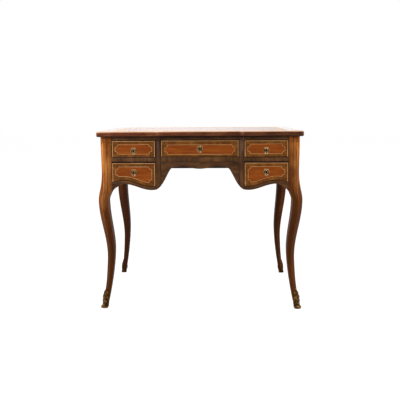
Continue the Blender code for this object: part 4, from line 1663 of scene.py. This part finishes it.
@dataclass
class WritingTop:
    """The top: a blunt rounded edge, a cross-banded border with lines, and tooled leather."""

    nodes: Nodes
    corner: float = 16 * MM
    end_trim: float = 3.5 * MM
    under: Point = (4.5 * MM, 7 * MM)
    thumb: Point = (6 * MM, 9 * MM)
    border: float = 62 * MM
    field_inset: float = 6.5 * MM
    line_inset: float = 15 * MM
    line_width: float = 2.0 * MM
    lift: float = 0.08 * MM
    # Painted shade along the edge, darker to the right, with painted highlights on the bends.
    shade_and_grime_span: Point = (-0.33, 0.27)
    shade_and_grime_share: float = 0.6
    bend_highlight: float = 0.75
    bend_highlight_reach: float = 1.4
    flower: float = 2.7 * MM
    bud: float = 0.8 * MM
    bud_reach: float = 4.6 * MM
    gilt: float = 0.12 * MM
    gilt_width: float = 0.9 * MM
    gilt_insets: tuple[float, ...] = (6 * MM, 8 * MM, 20 * MM, 22 * MM)
    flower_inset: float = 14 * MM
    flower_spacing: float = 11 * MM
    bend_steps: int = 24
    corner_steps: int = 10
    half_width: float = field(init=False)
    half_depth: float = field(init=False)
    bottom: float = field(init=False)
    top: float = field(init=False)
    bend: tuple[float, float] = field(init=False)
    recess_depth: float = field(init=False)

    def __post_init__(self) -> None:
        """Reads the top's size and the bends of its front from the frame."""
        low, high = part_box("top_board")
        self.half_width, self.half_depth = high.x - self.end_trim, high.y
        self.bottom, self.top = low.z, high.z
        stile_low, stile_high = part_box("stile_right")
        self.bend = (stile_low.x, stile_high.x)
        side_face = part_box("drawer_front_upper_right")[0].y
        self.recess_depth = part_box("drawer_front_center")[0].y - side_face

    def recess(self, x: float) -> float:
        """How far the front is set back at x."""
        inner, outer = self.bend
        return self.recess_depth * smooth((outer - abs(x)) / (outer - inner))

    def front_stations(self, end: float) -> list[float]:
        """Places along the front, closer together where it bends."""
        right = spaced(*self.bend, self.bend_steps)
        return [-end, *[-x for x in reversed(right)], *right, end]

    def plan(self, inset: float, z: float) -> list[tuple[float, float, float]]:
        """Plan outline drawn in by an inset.

        Args:
            inset: How far inside the edge it lies.
            z: Its height.

        Returns:
            The outline, anticlockwise from the front left corner.
        """
        wide, deep = self.half_width - inset, self.half_depth - inset
        radius = max(self.corner - inset, 2 * MM)
        steps = self.corner_steps
        left, right = -(wide - radius), wide - radius
        front, back = -(deep - radius), deep - radius
        bends = self.front_stations(right)[1:-1]
        points = arc((left, front), radius, 180, 270, steps)
        points += [(x, self.recess(x) - deep) for x in bends]
        points += arc((right, front), radius, 270, 360, steps)
        points += arc((right, back), radius, 0, 90, steps)
        points += arc((left, back), radius, 90, 180, steps)
        return [(x, y, z) for x, y in points]

    def stain(self, x: float) -> float:
        """Painted shade on the edge at a place: darker towards the right, as the light falls from the left,
        and lighter on the bends, a painted highlight where they face sideways into the light.
        """
        start, end = self.shade_and_grime_span
        middle, half = (self.bend[0] + self.bend[1]) / 2, (self.bend[1] - self.bend[0]) / 2
        # Painted highlight: the bends, which face sideways, are kept lighter.
        rubbed = smooth(self.bend_highlight_reach - abs(abs(x) - middle) / half)
        return self.shade_and_grime_share * smooth((x - start) / (end - start)) * (1 - self.bend_highlight * rubbed)

    def build_board(self) -> bpy.types.Object:
        """The board: painted shade under its edge, and a pale painted highlight, partly wear, over the
        upper rounding.

        Returns:
            The dressed piece.
        """
        rings, tones = [], []
        for a in spaced(0.0, math.pi / 2, 6):
            inset, rise = self.under[0] * (1 - math.sin(a)), self.under[1] * (1 - math.cos(a))
            rings.append(self.plan(inset, self.bottom + rise))
            # Painted shade under the overhang.
            tones.append(Tone.GRIMED if a < 0.9 else Tone.PLAIN)
        for a in spaced(0.0, math.pi / 2, 12):
            inset, drop = self.thumb[0] * (1 - math.cos(a)), self.thumb[1] * (1 - math.sin(a))
            rings.append(self.plan(inset, self.top - drop))
            # Painted highlight, partly wear, on the upper rounding that faces the light.
            tones.append(Tone.RUBBED if a > 0.55 else Tone.PLAIN)
        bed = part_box("writing_leather")[0].z
        rings.append(self.plan(self.border, self.top))
        rings.append(self.plan(self.border, bed))
        tones += [Tone.PLAIN, Tone.PLAIN]
        shape = skin(rings, finish=lambda band, step: tones[band])
        piece = piece_from("top_moulded_board", shape, crease_deg=30.0)
        shade_and_grime_layer = piece.data.attributes.new(FINISH.edge.shade_and_grime_by, "FLOAT", "POINT")
        shade_and_grime_layer.data.foreach_set("value", [self.stain(v.co.x) for v in piece.data.vertices])
        wood = FINISH.edge
        finishes = [wood.material(Grain.X), FINISH.rim.material(Grain.X), wood.grimed().material(Grain.X)]
        return dress(piece, finishes, "carcass", ["top_board"])

    def build_border(self) -> bpy.types.Object:
        """Four mitred bands of veneer round the leather.

        Returns:
            The dressed piece.
        """
        face = level(self.top)
        wide, deep = self.half_width - self.field_inset, self.half_depth - self.field_inset
        in_wide, in_deep = self.half_width - self.border, self.half_depth - self.border
        front = [(x, self.recess(x) - deep) for x in self.front_stations(wide)]
        in_front = [(x, self.recess(x) - in_deep) for x in self.front_stations(in_wide)]
        across = [
            front + in_front[::-1],
            [(wide, deep), (-wide, deep), (-in_wide, in_deep), (in_wide, in_deep)],
        ]
        along = [
            [(wide, -deep), (wide, deep), (in_wide, in_deep), (in_wide, -in_deep)],
            [(-wide, deep), (-wide, -deep), (-in_wide, -in_deep), (-in_wide, in_deep)],
        ]
        piece = piece_from("top_border", bands(face, (across, along), self.lift))
        finishes = [FINISH.border.material(Grain.Y), FINISH.border.material(Grain.X)]
        return dress(piece, finishes, "carcass")

    def build_lines(self) -> bpy.types.Object:
        """Light lines along the moulding and along the leather.

        Returns:
            The dressed piece.
        """
        finish = FINISH.line.material(Grain.X)
        insets = (self.line_inset, self.border - self.line_width)
        paths = [Path(self.plan(inset, self.top), closed=True) for inset in insets]
        inputs = {
            "Width": self.line_width,
            "Thickness": 4 * self.lift,
            "Corner": 0.0,
            "Facing": (0.0, 0.0, 1.0),
            "Finish": finish,
        }
        piece = grow("top_lines", path_tree(Section.STRIP), paths, inputs)
        return dress(piece, [finish], "carcass")

    def build_leather(self) -> None:
        """The leather with its gilt lines and a row of stamped flowers."""
        edge = self.border + 0.3 * MM
        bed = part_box("writing_leather")[0].z
        rings = [self.plan(edge, bed + 0.1 * MM), self.plan(edge, self.top - 0.4 * MM)]
        rings.append(self.plan(edge + 0.4 * MM, self.top))
        piece = piece_from("leather_skiver", skin(rings), crease_deg=30.0)
        dress(piece, [FINISH.leather.material()], "carcass", ["writing_leather"])

        finish = FINISH.gilding.material()
        laid = {"Facing": (0.0, 0.0, 1.0), "Finish": finish}
        inputs = {"Width": self.gilt_width, "Thickness": 2 * self.gilt, "Corner": 0.0, **laid}
        paths = [Path(self.plan(edge + inset, self.top), closed=True) for inset in self.gilt_insets]
        lines = grow("gilt_lines", path_tree(Section.STRIP), paths, inputs)
        flower = self.stamp()
        inputs = {"Shape": flower, "Spacing": self.flower_spacing, **laid}
        path = Path(self.plan(edge + self.flower_inset, self.top), closed=True)
        row = grow("gilt_row", row_tree(), [path], inputs)
        bpy.data.objects.remove(flower)
        dress(joined("gilt_tooling", [lines, row]), [finish], "carcass")

    def stamp(self) -> bpy.types.Object:
        """One stamped flower of five petals with a bud on each side.

        Returns:
            The stamp, flat about its own origin.
        """
        flat = level()
        outline = []
        for i in range(40):
            angle = 2 * math.pi * i / 40
            radius = self.flower * (0.62 + 0.38 * math.cos(5 * angle))
            outline.append((radius * math.cos(angle), radius * math.sin(angle)))
        parts = [piece_from("flower", slab(flat, outline, 0.0, self.gilt))]
        for side in (-1, 1):
            bud = arc((side * self.bud_reach, 0.0), self.bud, 0, 330, 11)
            parts.append(piece_from("bud", slab(flat, bud, 0.0, self.gilt)))
        return joined("flower_stamp", parts)

    def build(self) -> None:
        """Builds the whole top."""
        self.build_board()
        self.build_border()
        self.build_lines()
        self.build_leather()


@dataclass
class CaseFront:
    """Rails, stiles and aprons that frame the drawers."""

    nodes: Nodes
    ease: float = 0.9 * MM
    bead_width: float = 10.5 * MM
    facing_lift: float = 0.4 * MM
    facing_crown: float = 1.8 * MM

    def build_rails(self) -> None:
        """Top rail, the rail under the middle drawer, and the stiles."""
        for node, grain, wood in (
            ("front_top_rail", Grain.X, FINISH.rail),
            ("center_rail", Grain.Z, FINISH.rail),
            ("stile_left", Grain.Z, FINISH.stile),
            ("stile_right", Grain.Z, FINISH.stile),
        ):
            piece = eased(self.nodes[node], f"{node}_veneered", self.ease)
            # Painted shade: the eased edges take the darkened wood, standing in for the shade in the gaps
            # round the drawers.
            dress(piece, [wood.material(grain), wood.grimed().material(grain)], "carcass", [node])

    def build_facing(self, name: str, ends: Point, heights: Point, distance: float) -> bpy.types.Object:
        """Veneer on the front of a rail, rounded across its height, with painted shade along its top and
        bottom.

        Args:
            name: Name of the piece.
            ends: Its two ends along X.
            heights: Its lower and upper edge.
            distance: How far out the rail's front lies.

        Returns:
            The dressed piece.
        """
        face = facing((0.0, -1.0, 0.0), distance)
        section = [(heights[0], 0.0)]
        for share in spaced(-1.0, 1.0, 10):
            lift = self.facing_lift + self.facing_crown * (1 - share * share)
            section.append((mix(heights[0], heights[1], (share + 1) / 2), lift))
        section.append((heights[1], 0.0))
        rings = [[face.at(u, v, lift) for v, lift in section] for u in ends]
        # Painted shade: the bands at the top and bottom are darkened.
        shade_bands = {0, 1, 2, len(section) - 3, len(section) - 2, len(section) - 1}
        shape = skin(rings, finish=lambda band, step: Tone.GRIMED if step in shade_bands else Tone.PLAIN)
        return dress(piece_from(name, shape), FINISH.rail.tones(Grain.Z), "carcass")

    def build_side_rails(self) -> None:
        """The boards between two side drawers, and the facings of the two side rails."""
        for side in ("left", "right"):
            node = f"dust_board_{side}"
            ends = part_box(f"apron_{side}")
            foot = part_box(f"drawer_front_lower_{side}")[1].z + MM
            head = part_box(f"drawer_box_upper_{side}")[0].z - 0.3 * MM
            front = -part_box(node)[0].y
            self.build_facing(f"rail_veneer_{side}", (ends[0].x, ends[1].x), (foot, head), front)
            oak_board(self.nodes, node, f"{node}_planed", 0.5 * MM, Grain.X, "carcass")

    def build_aprons(self) -> None:
        """The aprons, with a bead along each side apron's upper edge."""
        wood = FINISH.rail
        for part in ("center", "left", "right"):
            node = f"apron_{part}"
            piece = eased(self.nodes[node], f"{node}_veneered", self.ease)
            # Painted shade: the eased edges take the darkened wood, as shade in the gaps.
            finishes = [wood.material(Grain.X), wood.grimed().material(Grain.X)]
            dress(piece, finishes, "carcass", [node])
        for side in ("left", "right"):
            drawer = f"drawer_front_lower_{side}"
            low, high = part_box(drawer)
            middle = (low.x + high.x) / 2
            near = facing((0.0, -1.0, 0.0), -low.y)
            edge = lower_edge_of(self.nodes[drawer], near, (middle - KEY_CLEAR, middle + KEY_CLEAR))
            face = facing((0.0, -1.0, 0.0), -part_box(f"apron_{side}")[0].y)
            drop = MM + self.bead_width / 2
            points = [face.at(u, edge(u) - drop, 0.3 * MM) for u in spaced(low.x, high.x, 60)]
            finish = wood.material(Grain.X)
            inputs = {"Width": self.bead_width, "Corner": 0.0, "Facing": face.out, "Finish": finish}
            bead = grow(f"bead_{side}", path_tree(Section.ROD), [Path(points)], inputs)
            flatten = 0.45
            for vertex in bead.data.vertices:
                vertex.co.y = face.origin.y + (vertex.co.y - face.origin.y) * flatten
            dress(bead, [finish], "carcass")

    def build(self) -> None:
        """Builds the whole front."""
        self.build_rails()
        self.build_side_rails()
        self.build_aprons()


@dataclass
class Carcass:
    """Sides and back with their inlay, and the plain boards inside."""

    nodes: Nodes
    margins: Margins = Margins(20 * MM, 24 * MM, 20 * MM)
    notch: float = 18 * MM
    band: float = 46 * MM
    back_lift: float = 4.0 * MM
    lower_band: float = 2.0 * MM

    def build_walls(self) -> None:
        """Two sides and the back, whose lower edge shows under the apron and stands a little higher."""
        wood = FINISH.edge
        for node, direction, lift in (
            ("side_panel_left", (-1.0, 0.0, 0.0), 0.0),
            ("side_panel_right", (1.0, 0.0, 0.0), 0.0),
            ("back_panel", (0.0, 1.0, 0.0), self.back_lift),
        ):
            low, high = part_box(node)
            axis = 0 if direction[0] else 1
            distance = max(abs(low[axis]), abs(high[axis]))
            face = facing(direction, distance)
            board = eased(self.nodes[node], f"{node}_board", 0.8 * MM)
            for vertex in board.data.vertices:
                if lift and vertex.co.z < low.z + self.lower_band:
                    vertex.co.z += lift
            grain = face.grain(across=True)
            # Painted shade: the inward faces are darkened, as the inside of the case lies in shade.
            for polygon in board.data.polygons:
                if polygon.normal.dot(face.out) < -0.5:
                    polygon.material_index = Tone.GRIMED
            dress(board, wood.tones(grain), "carcass", [node])
            half = (high - low)[1 - axis] / 2
            edge = lower_edge_of(self.nodes[node], face)
            inset = MM
            inlay = Inlay(
                node,
                "carcass",
                face,
                -half + inset,
                half - inset,
                high.z - inset,
                lambda u, edge=edge, rise=inset + lift: edge(u) + rise,
                self.margins,
                panel_across=True,
                notch=self.notch,
                band=self.band,
            )
            inlay.build_ground()
            inlay.build_panel()
            inlay.build_lines(edging=False)

    def build_lining(self) -> None:
        """Partitions and runners of plain oak."""
        for side in ("left", "right"):
            for kind in ("partition", "center_runner", "lower_runner_inner", "lower_runner_outer"):
                node = f"{kind}_{side}"
                oak_board(self.nodes, node, f"{node}_planed", 0.6 * MM, Grain.Y, "carcass")

    def build(self) -> None:
        """Builds the whole carcass."""
        self.build_walls()
        self.build_lining()


def looked_at(tree: bpy.types.NodeTree) -> bpy.types.NodeSocket:
    """1 for rays of the camera, of reflections and through glass, and 0 for all other light.

    Args:
        tree: The tree that the nodes join.

    Returns:
        The socket that carries the value.
    """
    path = add(tree, "ShaderNodeLightPath").outputs
    seen = path["Is Camera Ray"]
    for kind in ("Is Glossy Ray", "Is Transmission Ray"):
        seen = add(tree, "ShaderNodeMath", {0: seen, 1: path[kind]}, operation="MAXIMUM").outputs[0]
    return seen


@dataclass(frozen=True)
class SoftBox:
    """A square lamp that looks at the middle of the desk."""

    name: str
    place: tuple[float, float, float]
    side: float
    watts: float
    aim_height: float = 0.45

    def build(self) -> None:
        """Makes the lamp."""
        data = bpy.data.lights.new(self.name, "AREA")
        data.shape = "SQUARE"
        data.size = self.side
        data.energy = self.watts
        lamp = bpy.data.objects.new(self.name, data)
        aim = Vector((0.0, 0.0, self.aim_height)) - Vector(self.place)
        turned = aim.to_track_quat("-Z", "Y").to_matrix().to_4x4()
        lamp.matrix_world = Matrix.Translation(self.place) @ turned
        bpy.context.scene.collection.objects.link(lamp)


@dataclass
class Studio:
    """Pale floor, soft light and the camera."""

    camera_place: tuple[float, float, float] = (0.0426, -2.0760, 0.8562)
    camera_turn: float = 0.02193
    camera_pitch: float = 0.0393
    camera_roll: float = 0.0062
    camera_shift: float = -0.18
    focal_px: float = 434.6
    sensor_mm: float = 36.0
    floor_half: float = 14.0
    floor_glow: float = 1.20
    floor_glow_share: float = 0.80
    floor_colour: str = "C8C7C4"
    ambient: float = 0.30
    lamps: tuple[SoftBox, ...] = (
        SoftBox("front", (-1.6, -2.8, 2.4), 1.4, 84.0),
        SoftBox("left", (-2.4, -0.6, 1.5), 1.2, 51.0),
        SoftBox("right", (2.4, -0.55, 1.5), 1.2, 68.0),
        SoftBox("back", (-0.4, 1.9, 2.5), 1.6, 36.0),
    )

    def build_camera(self) -> None:
        """An almost level camera at the photograph's viewing angle, shifted down to frame the desk."""
        data = bpy.data.cameras.new("camera")
        data.sensor_width = self.sensor_mm
        data.lens = self.focal_px / PHOTO_SIZE * self.sensor_mm
        data.shift_y = self.camera_shift
        camera = bpy.data.objects.new("camera", data)
        turn = Matrix.Rotation(self.camera_turn, 4, "Z")
        tilt = Matrix.Rotation(math.pi / 2 - self.camera_pitch, 4, "X")
        roll = Matrix.Rotation(-self.camera_roll, 4, "Z")
        camera.matrix_world = Matrix.Translation(self.camera_place) @ turn @ tilt @ roll
        bpy.context.scene.collection.objects.link(camera)
        bpy.context.scene.camera = camera

    def build_world(self) -> None:
        """White wherever the camera or a reflection looks, and a softer level as light."""
        world = bpy.data.worlds.new("studio")
        world.use_nodes = True
        tree = world.node_tree
        span = {"To Min": self.ambient, "To Max": 1.0}
        level = add(tree, "ShaderNodeMapRange", {"Value": looked_at(tree), **span})
        background = tree.nodes["Background"]
        background.inputs["Color"].default_value = (1.0, 1.0, 1.0, 1.0)
        tree.links.new(level.outputs[0], background.inputs["Strength"])
        bpy.context.scene.world = world

    def build_floor(self) -> None:
        """A white floor that keeps a soft shadow."""
        shape = bmesh.new()
        half = self.floor_half
        corners = [(-half, -half, 0), (half, -half, 0), (half, half, 0), (-half, half, 0)]
        shape.faces.new([shape.verts.new(corner) for corner in corners])
        floor = piece_from("floor", shape)
        material = bpy.data.materials.new("floor_paper")
        material.use_nodes = True
        tree = material.node_tree
        paper = tree.nodes["Principled BSDF"]
        paper.inputs["Base Color"].default_value = linear(self.floor_colour)
        paper.inputs["Roughness"].default_value = 0.9
        paper.inputs["Specular IOR Level"].default_value = 0.0
        white = {"Color": (1.0, 1.0, 1.0, 1.0), "Strength": self.floor_glow}
        glow = add(tree, "ShaderNodeEmission", white)
        lit = {0: looked_at(tree), 1: self.floor_glow_share}
        share = add(tree, "ShaderNodeMath", lit, operation="MULTIPLY")
        both = {0: share.outputs[0], 1: paper.outputs[0], 2: glow.outputs[0]}
        mixed = add(tree, "ShaderNodeMixShader", both)
        tree.links.new(mixed.outputs[0], tree.nodes["Material Output"].inputs["Surface"])
        floor.data.materials.append(material)

    def build(self) -> None:
        """Builds the studio."""
        self.build_camera()
        self.build_world()
        self.build_floor()
        for lamp in self.lamps:
            lamp.build()
        bpy.context.scene.view_settings.view_transform = "Standard"


def main() -> None:
    """Builds every sub-assembly around the frame."""
    logging.basicConfig(level=logging.INFO, format="%(name)s: %(message)s")
    for old in list(bpy.data.objects):
        bpy.data.objects.remove(old)
    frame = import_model()
    nodes = frame["nodes"]
    Studio().build()
    WritingTop(nodes).build()
    CaseFront(nodes).build()
    Carcass(nodes).build()
    slimmer = 1.0 * MM
    for leg in (
        CabrioleLeg("front_left", nodes),
        # Painted shade: the right front leg darkens from higher up, as it gets less light than the left;
        # the rear right leg is darkened less, as it catches light from the left.
        CabrioleLeg("front_right", nodes, shade_and_grime_span=(0.40, 0.76), shade_and_grime_share=0.92),
        CabrioleLeg("rear_left", nodes, fullness=slimmer),
        CabrioleLeg("rear_right", nodes, fullness=slimmer, shade_and_grime_share=0.4),
    ):
        leg.build()
    upper = Margins(12.5 * MM, 15.0 * MM, 11.5 * MM)
    lower = Margins(14.0 * MM, 16.0 * MM, 15.0 * MM)
    middle = Margins(15.0 * MM, 18.0 * MM, 9.0 * MM)
    Drawer("center", middle, True, nodes, (13.0 * MM, 16.4 * MM)).build()
    for side in ("left", "right"):
        Drawer(f"upper_{side}", upper, True, nodes).build()
        Drawer(f"lower_{side}", lower, True, nodes).build()


if __name__ == "__main__":
    main()
